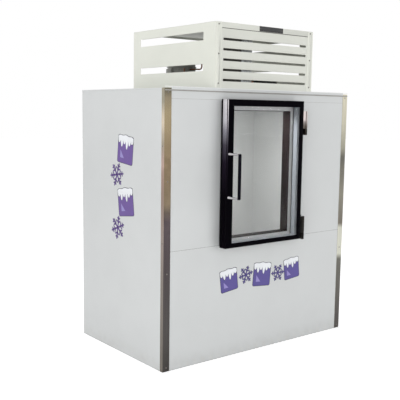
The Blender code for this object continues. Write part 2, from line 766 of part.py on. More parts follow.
def floor_drain(looks):
    """The floor drain with its pipe, which turns out through the back."""
    x, y = drain_place()
    lift = INNER_FLOOR + GAP
    spigot_end = INNER_FLOOR - LINER - DRAIN_SPIGOT_LENGTH
    profile = [
        (0, lift + DRAIN_FLANGE),
        (DRAIN_FLANGE_RADIUS, lift + DRAIN_FLANGE),
        (DRAIN_FLANGE_RADIUS, lift),
        (DRAIN_SPIGOT_RADIUS, lift),
        (DRAIN_SPIGOT_RADIUS, spigot_end),
        (0, spigot_end),
    ]
    cup = shape(turned, (profile, (x, y, 0), "Z"))
    level = DRAIN_PIPE_HEIGHT
    route = [(x, y, spigot_end + DRAIN_FLANGE), (x, y, level), (x, BACK + DRAIN_STUB, level)]
    bend = DRAIN_PIPE_RADIUS * DRAIN_BEND_share
    run = shape(pipe, (route, DRAIN_PIPE_RADIUS, ROUND_SIDES, bend))
    ends = (x, y, spigot_end), (x, y, lift + OVERRUN)
    bore = shape(rod, (*ends, DRAIN_BORE_RADIUS))
    piece("floor_drain", cup, looks["drain"], joined=[run], cut=[bore])


def evaporator_box():
    """The cold coil's case as (left, right, front, back, bottom)."""
    left = line_passes()[0][0] + EVAPORATOR_LINE_MARGIN - EVAPORATOR_WIDTH
    back = INNER_BACK - EVAPORATOR_BACK_INSET
    bottom = INNER_CEILING - GAP - EVAPORATOR_HEIGHT
    return left, left + EVAPORATOR_WIDTH, back - EVAPORATOR_DEPTH, back, bottom


def pan_outlet():
    """Where the pan drains, as X and Y, close to the compartment's back wall."""
    left, _, _, _, _ = evaporator_box()
    return left - PAN_OVERHANG + HOSE_WALL_INSET, INNER_BACK - HOSE_WALL_INSET


def cold_fan_place():
    """The middle of the cold fan as X and Z."""
    left, _, _, _, bottom = evaporator_box()
    return left + EVAPORATOR_WIDTH / 2, (bottom + INNER_CEILING) / 2


def fin_block(low, high, fins):
    """A block of upright fins joined by a web along its middle."""
    bm = bmesh.new()
    width = high[0] - low[0]
    middle = (low[1] + high[1]) / 2
    web = (high[1] - low[1]) * COIL_WEB_share / 2
    pitch = (width - FIN) / (fins - 1)
    front, rear = [], []
    for index in range(fins):
        start = low[0] + index * pitch
        front += [(start, low[1]), (start + FIN, low[1])]
        rear += [(start, high[1]), (start + FIN, high[1])]
        if index < fins - 1:
            front += [(start + FIN, middle - web), (start + pitch, middle - web)]
            rear += [(start + FIN, middle + web), (start + pitch, middle + web)]
    prism(bm, front + rear[::-1], "Z", low[2], high[2])
    return bm


def fan_blades(bm, place, hub_radius, radius, front, back):
    """Adds pitched blades round a fan's hub, between the hub and the tip radius."""
    x, z = place
    middle = (front + back) / 2
    for index in range(FAN_BLADE_COUNT):
        blade = bmesh.new()
        root, tip = hub_radius - FAN_BLADE, radius
        outline = [
            (root, -FAN_BLADE_ROOT_WIDTH / 2),
            (tip, -FAN_BLADE_TIP_WIDTH / 2),
            (tip, FAN_BLADE_TIP_WIDTH / 2),
            (root, FAN_BLADE_ROOT_WIDTH / 2),
        ]
        prism(blade, outline, "Z", -FAN_BLADE / 2, FAN_BLADE / 2)
        pitch = Matrix.Rotation(FAN_BLADE_PITCH, 4, "X")
        upright = Matrix.Rotation(math.radians(90), 4, "X")
        turn = Matrix.Rotation(math.tau * index / FAN_BLADE_COUNT, 4, "Y")
        place_matrix = Matrix.Translation((x, middle, z)) @ turn @ upright @ pitch
        bmesh.ops.transform(blade, matrix=place_matrix, verts=blade.verts)
        mesh = bpy.data.meshes.new("blade")
        blade.to_mesh(mesh)
        blade.free()
        bm.from_mesh(mesh)
        bpy.data.meshes.remove(mesh)


def fan(name, place, radius, front, looks):
    """A fan with a hub and pitched blades that turns about Y; front is its hub's front."""
    x, z = place
    back = front + FAN_HUB_LENGTH
    hub = shape(rod, ((x, front, z), (x, back, z), FAN_HUB_RADIUS))
    blades = bmesh.new()
    fan_blades(blades, place, FAN_HUB_RADIUS, radius, front, back)
    obj = piece(name, hub, looks["fan"], joined=[blades])
    on_axis(f"{name}_axis", (x, (front + back) / 2, z), [obj])
    return back


def evaporator(looks):
    """The cold coil under the ceiling, with its case, pan, fan, motor and guard."""
    left, right, front, back, bottom = evaporator_box()
    top = INNER_CEILING - GAP
    sheet = EVAPORATOR_SHEET
    x, z = cold_fan_place()
    outer = shape(box, ((left, front, bottom), (right, back, top)))
    inside_low = (left + sheet, front + sheet, bottom - OVERRUN)
    inside = shape(box, (inside_low, (right - sheet, back + OVERRUN, top + OVERRUN)))
    hole_radius = COLD_FAN_RADIUS + COLD_FAN_CLEARANCE
    ends = (x, front - OVERRUN, z), (x, front + OVERRUN, z)
    hole = shape(rod, (*ends, hole_radius))
    piece("evaporator_case", outer, looks["liner"], cut=[inside, hole])
    coil_low = (left + sheet + GAP + COIL_END_PLATE + GAP, back - COIL_DEPTH, bottom + COIL_DROP)
    coil_high = (right - EVAPORATOR_BAY, back, top - COIL_DROP)
    coil = fin_block(coil_low, coil_high, EVAPORATOR_FINS)
    plates = bmesh.new()
    for start in (left + sheet + GAP, coil_high[0] + GAP):
        low = (start, coil_low[1], bottom + GAP)
        box(plates, low, (start + COIL_END_PLATE, back, top))
    joiner = COIL_END_PLATE
    level = (coil_low[2] + coil_high[2]) / 2
    middle = (coil_low[1] + back) / 2
    tube_ends = (left + sheet + GAP + joiner / 2, middle, level), (coil_high[0] + joiner, middle, level)
    tube = shape(rod, (*tube_ends, LINE_RADIUS))
    piece("evaporator_coil", coil, looks["aluminium"], joined=[plates, tube])
    pan(looks, left, right, front, back, bottom)
    fan_back = fan("evaporator_fan", (x, z), COLD_FAN_RADIUS, front + COLD_FAN_SETBACK, looks)
    cold_motor(looks, x, z, fan_back, top)
    fan_guard(looks, x, z, front, hole_radius)


def pan(looks, left, right, front, back, bottom):
    """The shallow pan below the cold coil, hung on the case."""
    high = bottom - GAP
    margin = PAN_OVERHANG
    rim_low = (left - margin, front - margin, high - PAN_DEPTH)
    outlet_x, outlet_y = pan_outlet()
    rim_high = (right + margin, outlet_y + HOSE_RADIUS, high)
    sheet = PAN_SHEET
    hollow_low = (rim_low[0] + sheet, rim_low[1] + sheet, rim_low[2] + sheet)
    hollow = shape(box, (hollow_low, (rim_high[0] - sheet, rim_high[1] - sheet, high + OVERRUN)))
    hangers = bmesh.new()
    for start, end in ((rim_low[0], left - GAP), (right + GAP, rim_high[0])):
        low = (start, front, high - PAN_HANGER)
        box(hangers, low, (end, front + PAN_HANGER, high + PAN_HANGER))
    bottom = INNER_FLOOR + HOSE_FLOOR_GAP
    ends = (outlet_x, outlet_y, bottom), (outlet_x, outlet_y, rim_low[2] + sheet / 2)
    hose = shape(rod, (*ends, HOSE_RADIUS))
    solid = shape(box, (rim_low, rim_high))
    added = [hangers, hose]
    piece("evaporator_drain_pan", solid, looks["galvanised"], cut=[hollow], added=added)


def cold_motor(looks, x, z, fan_back, top):
    """The cold fan's motor, its shaft, and the arm that carries it from the ceiling."""
    start = fan_back + GAP
    body_front = start + MOTOR_SHAFT_LENGTH
    body_back = body_front + COLD_MOTOR_LENGTH
    body = shape(rod, ((x, body_front, z), (x, body_back, z), COLD_MOTOR_RADIUS))
    shaft = shape(rod, ((x, start, z), (x, body_front + OVERRUN, z), MOTOR_SHAFT_RADIUS))
    middle = (body_front + body_back) / 2
    arm_low = (x - MOTOR_ARM / 2, middle - MOTOR_ARM, z)
    arm = shape(box, (arm_low, (x + MOTOR_ARM / 2, middle + MOTOR_ARM, top)))
    piece("evaporator_fan_motor", body, looks["black"], joined=[shaft, arm])


def fan_guard(looks, x, z, front, reach):
    """The wire guard over the cold fan: rings joined by a cross."""
    guard_back = front - GAP
    guard_front = guard_back - GUARD_WIRE
    outer = reach + GUARD_WIRE * 2
    bars = shape(
        box,
        ((x - outer, guard_front, z - GUARD_WIRE / 2), (x + outer, guard_back, z + GUARD_WIRE / 2)),
    )
    upright_low = (x - GUARD_WIRE / 2, guard_front, z - outer)
    upright = shape(box, (upright_low, (x + GUARD_WIRE / 2, guard_back, z + outer)))
    joined = [upright]
    for index in range(GUARD_RING_COUNT):
        radius = outer * (index + 1) / GUARD_RING_COUNT
        ring = bmesh.new()
        profile = [
            (radius - GUARD_WIRE, guard_front),
            (radius, guard_front),
            (radius, guard_back),
            (radius - GUARD_WIRE, guard_back),
        ]
        turned_ring(ring, profile, (x, 0, z), "Y", GUARD_RING_SIDES)
        joined.append(ring)
    piece("evaporator_fan_guard", bars, looks["chrome"], joined=joined)


def interior_light(looks):
    """The strip light under the ceiling, just behind the doorway's head."""
    middle = (doorway()[0] + doorway()[1]) / 2
    left = middle - LIGHT_LENGTH / 2
    front = INNER_FRONT + LIGHT_SETBACK
    top = INNER_CEILING - GAP
    low = (left, front, top - LIGHT_HEIGHT)
    base = shape(box, (low, (left + LIGHT_LENGTH, front + LIGHT_WIDTH, top)))
    centre = front + LIGHT_WIDTH / 2
    outline = []
    for step in range(LENS_STEPS + 1):
        turn = math.pi * step / LENS_STEPS
        y = centre - math.cos(turn) * (LIGHT_WIDTH / 2 - LENS_INSET)
        outline.append((y, top - LIGHT_HEIGHT + WELD - math.sin(turn) * LENS_DROP))
    lens = shape(prism, (outline, "X", left + LENS_INSET, left + LIGHT_LENGTH - LENS_INSET))
    piece("interior_light", base, looks["lens"], joined=[lens])


def door_rectangle(share, inset=0.0):
    """The door's outline drawn in by a share of its frame widths, then by an inset."""
    rect = (
        DOOR_LEFT + share * STILE_LEFT,
        DOOR_RIGHT - share * STILE_RIGHT,
        DOOR_BOTTOM + share * RAIL_BOTTOM,
        DOOR_TOP - share * RAIL_TOP,
    )
    return grown(rect, -inset)


def corner(rect, index):
    """One corner of a rectangle as X and Z, counted from bottom left, anticlockwise."""
    left, right, bottom, top = rect
    return [(left, bottom), (right, bottom), (right, top), (left, top)][index]


def frame_profile():
    """The section of a door member: shares across the member, and depths from its face."""
    profile = [(0, DOOR_THICKNESS), (0, GROOVE_PLACE + GROOVE_WIDTH)]
    profile.append((GROOVE_DEPTH_share, GROOVE_PLACE + GROOVE_WIDTH / 2))
    profile.append((0, GROOVE_PLACE))
    for step in range(DOOR_EDGE_STEPS + 1):
        turn = math.radians(90) * step / DOOR_EDGE_STEPS
        share = DOOR_EDGE_share * (1 - math.cos(turn))
        profile.append((share, DOOR_EDGE * (1 - math.sin(turn))))
    rebate = 1 - REBATE_share
    profile += [(1, 0), (1, DOOR_LIP), (rebate, DOOR_LIP), (rebate, DOOR_THICKNESS)]
    return profile


def door_member(name, first, last, looks):
    """One mitred member of the door's frame, from one corner to the next."""
    bm = bmesh.new()
    ends = []
    run = Vector(corner(door_rectangle(0), last)) - Vector(corner(door_rectangle(0), first))
    step = run.normalized() * GAP
    for index, shift in ((first, step), (last, -step)):
        ring = []
        for share, depth in frame_profile():
            x, z = Vector(corner(door_rectangle(share), index)) + shift
            ring.append(bm.verts.new((x, DOOR_FRONT + depth, z)))
        bm.faces.new(ring)
        ends.append(ring)
    count = len(ends[0])
    for index in range(count):
        after = (index + 1) % count
        bm.faces.new([ends[0][index], ends[0][after], ends[1][after], ends[1][index]])
    return piece(name, bm, looks["door"])


def door_glazing(looks):
    """The sealed pair of panes, their spacer, and the bead and gasket behind them."""
    rebate = 1 - REBATE_share
    pane = door_rectangle(rebate, PANE_CLEARANCE)
    left, right, bottom, top = pane
    outer_front = DOOR_FRONT + DOOR_LIP + GAP
    spacer_front = outer_front + PANE + GAP
    inner_front = spacer_front + SPACER_DEPTH + GAP
    bead_front = inner_front + PANE + GAP
    glass = looks["glass"]
    outer = shape(box, ((left, outer_front, bottom), (right, outer_front + PANE, top)))
    inner = shape(box, ((left, inner_front, bottom), (right, inner_front + PANE, top)))
    spacer_outer = grown(pane, -SPACER_INSET)
    spacer_inner = grown(spacer_outer, -SPACER_WIDTH)
    spacer_back = spacer_front + SPACER_DEPTH
    spacer = plate_with_window(spacer_outer, spacer_inner, spacer_front, spacer_back)
    sight = door_rectangle(1, -BEAD_SETBACK)
    bead = plate_with_window(pane, sight, bead_front, DOOR_BACK)
    gasket_outer = grown(door_rectangle(0), -GASKET_INSET)
    gasket_inner = grown(gasket_outer, -GASKET_WIDTH)
    gasket = bmesh.new()
    front, back = DOOR_BACK + GAP, FRONT - GAP
    loops = [
        (*gasket_outer, front),
        (*grown(gasket_outer, -GASKET_TAPER), back),
        (*grown(gasket_inner, GASKET_TAPER), back),
        (*gasket_inner, front),
    ]
    window_frame(gasket, loops)
    return [
        piece("door_outer_glass", outer, glass),
        piece("door_inner_glass", inner, glass),
        piece("glass_spacer", spacer, looks["spacer"]),
        piece("glazing_bead", bead, looks["bead"]),
        piece("door_gasket", gasket, looks["rubber"]),
    ]


def door_handle(looks):
    """The handle: two plated posts with feet, and the upright grip that they carry."""
    x = DOOR_LEFT + HANDLE_INSET
    face = DOOR_FRONT - GAP
    tip = DOOR_FRONT - POST_LENGTH
    posts = []
    heights = (("lower_handle_post", HANDLE_BOTTOM), ("upper_handle_post", HANDLE_BOTTOM + HANDLE_SPAN))
    for name, z in heights:
        profile = [
            (0, face),
            (POST_FOOT_RADIUS, face),
            (POST_FOOT_RADIUS, face - POST_FOOT_HEIGHT),
            (POST_RADIUS, face - POST_FOOT_HEIGHT),
            (POST_RADIUS, tip),
            (0, tip),
        ]
        post = shape(turned, (profile, (x, 0, z), "Y"))
        posts.append(piece(name, post, looks["chrome"]))
    grip_back = tip - GAP
    low = (x - GRIP_WIDTH / 2, grip_back - GRIP_DEPTH, HANDLE_BOTTOM - GRIP_END)
    high = (x + GRIP_WIDTH / 2, grip_back, HANDLE_BOTTOM + HANDLE_SPAN + GRIP_END)
    grip = piece("handle_grip", shape(box, (low, high)), looks["grip"])
    return [*posts, rounded(grip, GRIP_ROUND)]


def hinge(place, bottom, looks):
    """One hinge: its leaf on the cabinet, which holds the pin, and its leaf on the door's edge."""
    top = bottom + HINGE_HEIGHT
    split = bottom + FIXED_KNUCKLE_HEIGHT
    plate_back = FRONT - GAP
    plate_front = plate_back - HINGE_PLATE
    low = (PIN_X - HINGE_PLATE_LEFT, plate_front, bottom)
    plate = shape(box, (low, (PIN_X + HINGE_PLATE_RIGHT, plate_back, top)))
    low = (PIN_X - HINGE_WEB / 2, PIN_Y, bottom)
    web = shape(box, (low, (PIN_X + HINGE_WEB / 2, plate_front + HINGE_PLATE / 2, split)))
    knuckle = shape(rod, ((PIN_X, PIN_Y, bottom), (PIN_X, PIN_Y, split), KNUCKLE_RADIUS))
    pin_top = top - KNUCKLE_CAP
    pin = shape(rod, ((PIN_X, PIN_Y, split - OVERRUN), (PIN_X, PIN_Y, pin_top), HINGE_PIN_RADIUS))
    fixed = f"{place}_hinge_cabinet_leaf"
    piece(fixed, plate, looks["chrome"], joined=[web, knuckle, pin])
    leaf_bottom = split + GAP
    edge = DOOR_RIGHT + GAP
    low = (edge, DOOR_FRONT + LEAF_SETBACK, leaf_bottom)
    leaf = shape(box, (low, (edge + HINGE_PLATE, DOOR_BACK - LEAF_SETBACK, top)))
    low = (edge + HINGE_PLATE / 2, PIN_Y - STRAP_DEPTH / 2, leaf_bottom)
    strap = shape(box, (low, (PIN_X, PIN_Y + STRAP_DEPTH / 2, top)))
    barrel = shape(rod, ((PIN_X, PIN_Y, leaf_bottom), (PIN_X, PIN_Y, top), KNUCKLE_RADIUS))
    ends = (PIN_X, PIN_Y, leaf_bottom - OVERRUN), (PIN_X, PIN_Y, pin_top + GAP)
    bore = shape(rod, (*ends, HINGE_PIN_RADIUS + GAP))
    moving = f"{place}_hinge_door_leaf"
    return piece(moving, leaf, looks["chrome"], joined=[strap, barrel], cut=[bore])


def door(looks):
    """The door on its hinge axis."""
    members = (
        ("door_bottom_rail", 0, 1),
        ("door_right_stile", 1, 2),
        ("door_top_rail", 2, 3),
        ("door_left_stile", 3, 0),
    )
    parts = [door_member(name, first, last, looks) for name, first, last in members]
    parts += door_glazing(looks)
    parts += door_handle(looks)
    parts.append(hinge("lower", DOOR_BOTTOM - LOWER_HINGE_DROP, looks))
    parts.append(hinge("upper", DOOR_TOP - UPPER_HINGE_DROP, looks))
    on_axis("door_axis", (PIN_X, PIN_Y, DOOR_BOTTOM), parts)


def side_panel(name, side, looks):
    """One side of the housing, with a front flange, a foot flange and two long slots."""
    sheet = HOUSING_SHEET
    outer, inner = side * HOUSING_RIGHT, side * (HOUSING_RIGHT - sheet)
    bottom = ROOF + GAP
    top = HOUSING_TOP - sheet - GAP

    def across(reach, low_y, high_y, low_z, high_z):
        """A box from the panel's outer face inwards by a reach."""
        far = side * (HOUSING_RIGHT - reach)
        low = (min(outer, far), low_y, low_z)
        return shape(box, (low, (max(outer, far), high_y, high_z)))

    flat = across(sheet, FRONT, HOUSING_BACK, bottom, top)
    foot_front = FRONT + HOUSING_FOOT + LOUVRE_LIP
    flange = across(HOUSING_FLANGE, FRONT, FRONT + sheet, bottom, top)
    foot = across(HOUSING_FOOT, foot_front, HOUSING_BACK, bottom, bottom + sheet)
    front, back = FRONT + SIDE_SLOT_FRONT_INSET, HOUSING_BACK - SIDE_SLOT_BACK_INSET
    lips, slots = [], bmesh.new()
    for rise, height in (
        (HOUSING_HEIGHT - UPPER_SLOT_DROP, UPPER_SLOT_HEIGHT),
        (LOWER_SLOT_BOTTOM, LOWER_SLOT_HEIGHT),
    ):
        low, high = ROOF + rise, ROOF + rise + height
        lips.append(across(SLOT_LIP, front, back, high, high + sheet))
        lips.append(across(SLOT_LIP, front, back, low - sheet, low))
        far = inner - side * OVERRUN
        near = outer + side * OVERRUN
        slot_low = (min(near, far), front, low)
        box(slots, slot_low, (max(near, far), back, high))
    x = side * (HOUSING_RIGHT - HOUSING_SCREW_INSET)
    drops = [HOUSING_HEIGHT * share for share in HOUSING_SCREW_DROP_shares]
    places = [(x, FRONT, HOUSING_TOP - drop) for drop in drops]
    heads = screw_heads(places, (0, -1, 0))
    piece(name, flat, looks["cream"], joined=[flange, foot, *lips, heads], cut=[slots])


def louvre_panel(looks):
    """The housing's front sheet with rolled louvre slots."""
    sheet = HOUSING_SHEET
    reach = HOUSING_RIGHT - sheet - GAP
    front = FRONT + sheet + GAP
    bottom, top = ROOF + GAP, HOUSING_TOP - sheet - GAP
    flat = shape(box, ((-reach, front, bottom), (reach, front + sheet, top)))
    lips, slots = bmesh.new(), bmesh.new()
    half = HOUSING_RIGHT - LOUVRE_MARGIN
    for index in range(LOUVRE_COUNT):
        low = ROOF + LOUVRE_FIRST + index * LOUVRE_PITCH - LOUVRE_HEIGHT / 2
        high = low + LOUVRE_HEIGHT
        box(lips, (-half, front, high), (half, front + LOUVRE_LIP, high + sheet))
        box(lips, (-half, front, low - sheet), (half, front + LOUVRE_LIP, low))
        box(slots, (-half, front - OVERRUN, low), (half, front + LOUVRE_LIP + OVERRUN, high))
    piece("housing_louvre_panel", flat, looks["cream"], joined=[lips], cut=[slots])


def top_cover(looks):
    """The housing's lid with its front and back lips, and the bare badge plate."""
    sheet = HOUSING_SHEET
    low = (-HOUSING_RIGHT, FRONT, HOUSING_TOP - sheet)
    flat = shape(box, (low, (HOUSING_RIGHT, HOUSING_BACK, HOUSING_TOP)))
    reach = HOUSING_RIGHT - HOUSING_FLANGE - GAP
    front_low = (-reach, FRONT, HOUSING_TOP - COVER_LIP)
    front_lip = shape(box, (front_low, (reach, FRONT + sheet, HOUSING_TOP)))
    reach = HOUSING_RIGHT - sheet - GAP
    back_low = (-reach, HOUSING_BACK - sheet, HOUSING_TOP - COVER_BACK_LIP)
    back_lip = shape(box, (back_low, (reach, HOUSING_BACK, HOUSING_TOP)))
    piece("housing_top_cover", flat, looks["cream"], joined=[front_lip, back_lip])
    badge_top = HOUSING_TOP - BADGE_TOP_INSET
    badge_low = (BADGE_LEFT, FRONT - GAP - BADGE_THICKNESS, badge_top - BADGE_HEIGHT)
    badge = shape(box, (badge_low, (BADGE_LEFT + BADGE_WIDTH, FRONT - GAP, badge_top)))
    piece("badge_plate", badge, looks["badge"])


def tray_box():
    """The condensing unit's tray as (left, right, front, back, top)."""
    left = -HOUSING_RIGHT + TRAY_LEFT_INSET
    front = FRONT + TRAY_FRONT_INSET
    back = HOUSING_BACK - TRAY_BACK_INSET
    return left, left + TRAY_WIDTH, front, back, ROOF + GAP + TRAY_HEIGHT


def compressor_place():
    """The compressor's axis as X and Y."""
    _, right, _, back, _ = tray_box()
    return right - COMPRESSOR_RIGHT_INSET, back - COMPRESSOR_BACK_INSET


def condenser_box():
    """The condenser as two corners, low and high."""
    left, _, front, _, top = tray_box()
    low = (left + CONDENSER_INSET, front + CONDENSER_FRONT_INSET, top + GAP)
    size = (CONDENSER_WIDTH, CONDENSER_DEPTH, CONDENSER_HEIGHT)
    return Vector(low), Vector(low) + Vector(size)


def condensing_unit(looks):
    """The tray, condenser, shroud, fan and motor."""
    left, right, front, back, top = tray_box()
    bottom, sheet = ROOF + GAP, TRAY_SHEET
    outline = [
        (left, bottom),
        (left + sheet, bottom),
        (left + sheet, top - sheet),
        (right - sheet, top - sheet),
        (right - sheet, bottom),
        (right, bottom),
        (right, top),
        (left, top),
    ]
    bm = bmesh.new()
    prism(bm, outline, "Y", front, back)
    piece("condensing_unit_base", bm, looks["galvanised"])
    low, high = condenser_box()
    piece("condenser_coil", fin_block(low, high, CONDENSER_FINS), looks["black"])
    shroud(looks, low, high)


def shroud(looks, low, high):
    """The sheet shroud that frames the condenser and holds the fan's round opening."""
    sheet = SHROUD_SHEET
    margin = GAP + sheet
    shroud_low = (low.x - margin, low.y, low.z)
    shroud_back = high.y + SHROUD_DEPTH
    shroud_high = (high.x + margin, shroud_back, high.z + margin)
    outer = shape(box, (shroud_low, shroud_high))
    inside_low = (low.x - GAP, low.y - OVERRUN, low.z - OVERRUN)
    inside = shape(box, (inside_low, (high.x + GAP, shroud_back - sheet, high.z + GAP)))
    x, z = (low.x + high.x) / 2, (low.z + high.z) / 2
    ends = (x, shroud_back - OVERRUN, z), (x, shroud_back + OVERRUN, z)
    hole = shape(rod, (*ends, FAN_RADIUS + FAN_CLEARANCE))
    piece("condenser_shroud", outer, looks["galvanised"], cut=[inside, hole])
    fan_front = shroud_back - FAN_HUB_LENGTH / 2
    fan_back = fan("condenser_fan", (x, z), FAN_RADIUS, fan_front, looks)
    start = fan_back + GAP
    body_front = start + MOTOR_SHAFT_LENGTH
    body_back = body_front + MOTOR_LENGTH
    body = shape(rod, ((x, body_front, z), (x, body_back, z), MOTOR_RADIUS))
    shaft = shape(rod, ((x, start, z), (x, body_front + OVERRUN, z), MOTOR_SHAFT_RADIUS))
    middle = (body_front + body_back) / 2
    post_low = (x - POST_WIDTH / 2, middle - POST_DEPTH / 2, low.z)
    post = shape(box, (post_low, (x + POST_WIDTH / 2, middle + POST_DEPTH / 2, z)))
    piece("condenser_fan_motor", body, looks["black"], joined=[shaft, post])


def compressor_base():
    """The underside of the compressor's can."""
    return tray_box()[4] + GAP + FOOT_HEIGHT + FOOT_PLATE


def compressor(looks):
    """The hermetic compressor with its terminal cover, on a plate with four feet."""
    x, y = compressor_place()
    base = compressor_base()
    top = base + COMPRESSOR_HEIGHT
    dome = COMPRESSOR_HEIGHT * COMPRESSOR_DOME_share
    seam = base + COMPRESSOR_HEIGHT * COMPRESSOR_SEAM_HEIGHT_share
    radius = COMPRESSOR_RADIUS
    start = base - FOOT_PLATE / 2
    profile = [(0, start), (radius - COMPRESSOR_SEAM, start)]
    profile += [(radius, base + COMPRESSOR_SEAM), (radius, seam), (radius + COMPRESSOR_SEAM, seam)]
    profile += [(radius + COMPRESSOR_SEAM, seam + COMPRESSOR_SEAM), (radius, seam + COMPRESSOR_SEAM)]
    shoulder = (radius * DOME_SHOULDER_shares[0], top - dome * DOME_SHOULDER_shares[1])
    profile += [(radius, top - dome), shoulder, (0, top)]
    can = shape(turned, (profile, (x, y, 0), "Z"))
    level = base + TERMINAL_HEIGHT / 2
    cover_low = (x - radius - TERMINAL_DEPTH / 2, y - TERMINAL_WIDTH / 2, level)
    cover = shape(box, (cover_low, (x, y + TERMINAL_WIDTH / 2, level + TERMINAL_HEIGHT)))
    low = (x - radius, y - radius, base - FOOT_PLATE)
    plate = shape(box, (low, (x + radius, y + radius, base)))
    feet = bmesh.new()
    spread = radius - FOOT_RADIUS - FOOT_INSET
    floor = tray_box()[4] + GAP
    for across in (-1, 1):
        for deep in (-1, 1):
            foot_x, foot_y = x + across * spread, y + deep * spread
            ends = (foot_x, foot_y, floor), (foot_x, foot_y, base - FOOT_PLATE / 2)
            rod(feet, *ends, FOOT_RADIUS, FOOT_SIDES)
    piece("compressor", can, looks["black"], joined=[cover, plate, feet])


def receiver_place():
    """The receiver's middle, between the tray and the housing's side, and its length."""
    level = ROOF + GAP + RECEIVER_LIFT + RECEIVER_RADIUS
    left = tray_box()[1] + RECEIVER_TRAY_CLEARANCE
    right = HOUSING_RIGHT - RECEIVER_RIGHT_INSET
    return Vector(((left + right) / 2, FRONT + RECEIVER_FRONT_INSET, level)), right - left


def condenser_side():
    """Where lines meet the shroud's right side, as X, and the aisle that they run in, as X."""
    wall = condenser_box()[1].x + GAP + SHROUD_SHEET + GAP
    return wall, wall + LINE_AISLE


def receiver(looks):
    """The liquid receiver on two saddles, with the line brazed in from the condenser."""
    middle, length = receiver_place()
    half, dome, radius = length / 2, RECEIVER_DOME, RECEIVER_RADIUS
    rim, rise = radius * TANK_DOME_shares[0], dome * TANK_DOME_shares[1]
    profile = [(0, -half), (rim, -half + rise), (radius, -half + dome)]
    profile += [(radius, half - dome), (rim, half - rise), (0, half)]
    tank = shape(turned, (profile, middle, "X"))
    saddles = bmesh.new()
    for side in (-1, 1):
        x = middle.x + side * length * SADDLE_SPREAD_share
        depth = radius * SADDLE_DEPTH_share
        low = (x - SADDLE_WIDTH / 2, middle.y - depth / 2, ROOF + GAP)
        box(saddles, low, (x + SADDLE_WIDTH / 2, middle.y + depth / 2, middle.z))
    low, high = condenser_box()
    wall, aisle = condenser_side()
    outlet = low.z + CONDENSER_HEIGHT * CONDENSER_OUTLET_share
    front = (low.y + high.y) / 2
    route = [(wall, front, outlet), (aisle, front, outlet), (aisle, middle.y, outlet)]
    route.append((middle.x - half + dome, middle.y, outlet))
    inlet = shape(pipe, (route, LINE_RADIUS, LINE_SIDES, LINE_BEND))
    piece("receiver_tank", tank, looks["black"], joined=[saddles, inlet])


def discharge_line(looks):
    """The line from the compressor to the top of the condenser."""
    low, high = condenser_box()
    wall, aisle = condenser_side()
    x, y = compressor_place()
    level = compressor_base() + COMPRESSOR_HEIGHT * DISCHARGE_LIFT_share
    inlet = low.z + CONDENSER_HEIGHT * CONDENSER_INLET_share
    front = (low.y + high.y) / 2
    skin = y - COMPRESSOR_RADIUS - GAP
    bay = skin - LINE_AISLE * 2
    route = [(x, skin, level), (x, bay, level), (aisle, bay, level), (aisle, bay, inlet)]
    route += [(aisle, front, inlet), (wall, front, inlet)]
    line = shape(pipe, (route, LINE_RADIUS, LINE_SIDES, LINE_BEND))
    piece("discharge_line", line, looks["copper"])


def liquid_line(looks):
    """The line from the receiver, through the drier and the roof, to the cold coil."""
    tank, tank_length = receiver_place()
    (_, _, _), (x, y, _) = line_passes()
    start = tank.x + tank_length / 2 + GAP
    run_x = HOUSING_RIGHT - LIQUID_RIGHT_INSET
    coil = evaporator_box()[1] - EVAPORATOR_BAY + GAP + COIL_END_PLATE + GAP
    coil_level = evaporator_box()[4] + EVAPORATOR_HEIGHT * COIL_INLET_share
    route = [(start, tank.y, tank.z), (run_x, tank.y, tank.z), (run_x, y, tank.z)]
    route += [(x, y, tank.z), (x, y, coil_level), (coil, y, coil_level)]
    line = shape(pipe, (route, LINE_RADIUS, LINE_SIDES, LINE_BEND))
    drier_start = tank.y + DRIER_START
    length, radius = DRIER_LENGTH, DRIER_RADIUS
    profile = [(0, -length / 2), (radius, radius - length / 2), (radius, length / 2 - radius)]
    profile.append((0, length / 2))
    drier = shape(turned, (profile, (run_x, drier_start + length / 2, tank.z), "Y"))
    piece("liquid_line", line, looks["copper"], joined=[drier])


def suction_line(looks):
    """The insulated line from the cold coil, up through the roof, to the compressor."""
    x, y = compressor_place()
    (pass_x, pass_y, _), _ = line_passes()
    coil = evaporator_box()[1] - EVAPORATOR_BAY + GAP + COIL_END_PLATE + GAP
    level = evaporator_box()[4] + EVAPORATOR_HEIGHT * COIL_INLET_share
    lift = compressor_base() + SUCTION_LIFT
    route = [(x + COMPRESSOR_RADIUS + GAP, y, lift), (pass_x, pass_y, lift)]
    route += [(pass_x, pass_y, level), (coil, pass_y, level)]
    line = shape(pipe, (route, SUCTION_RADIUS, LINE_SIDES, LINE_BEND))
    piece("suction_line", line, looks["rubber"])


def control_box_low():
    """The control box's lowest corner."""
    x = HOUSING_RIGHT - CONTROL_RIGHT_INSET - CONTROL_WIDTH
    y = HOUSING_BACK - CONTROL_BACK_INSET - CONTROL_DEPTH
    return Vector((x, y, ROOF + GAP))


def on_control_face(shares):
    """A point on the control box's back face, from its shares of the width and height."""
    low = control_box_low()
    x = low.x + CONTROL_WIDTH * shares[0]
    return Vector((x, low.y + CONTROL_DEPTH, low.z + CONTROL_HEIGHT * shares[1]))


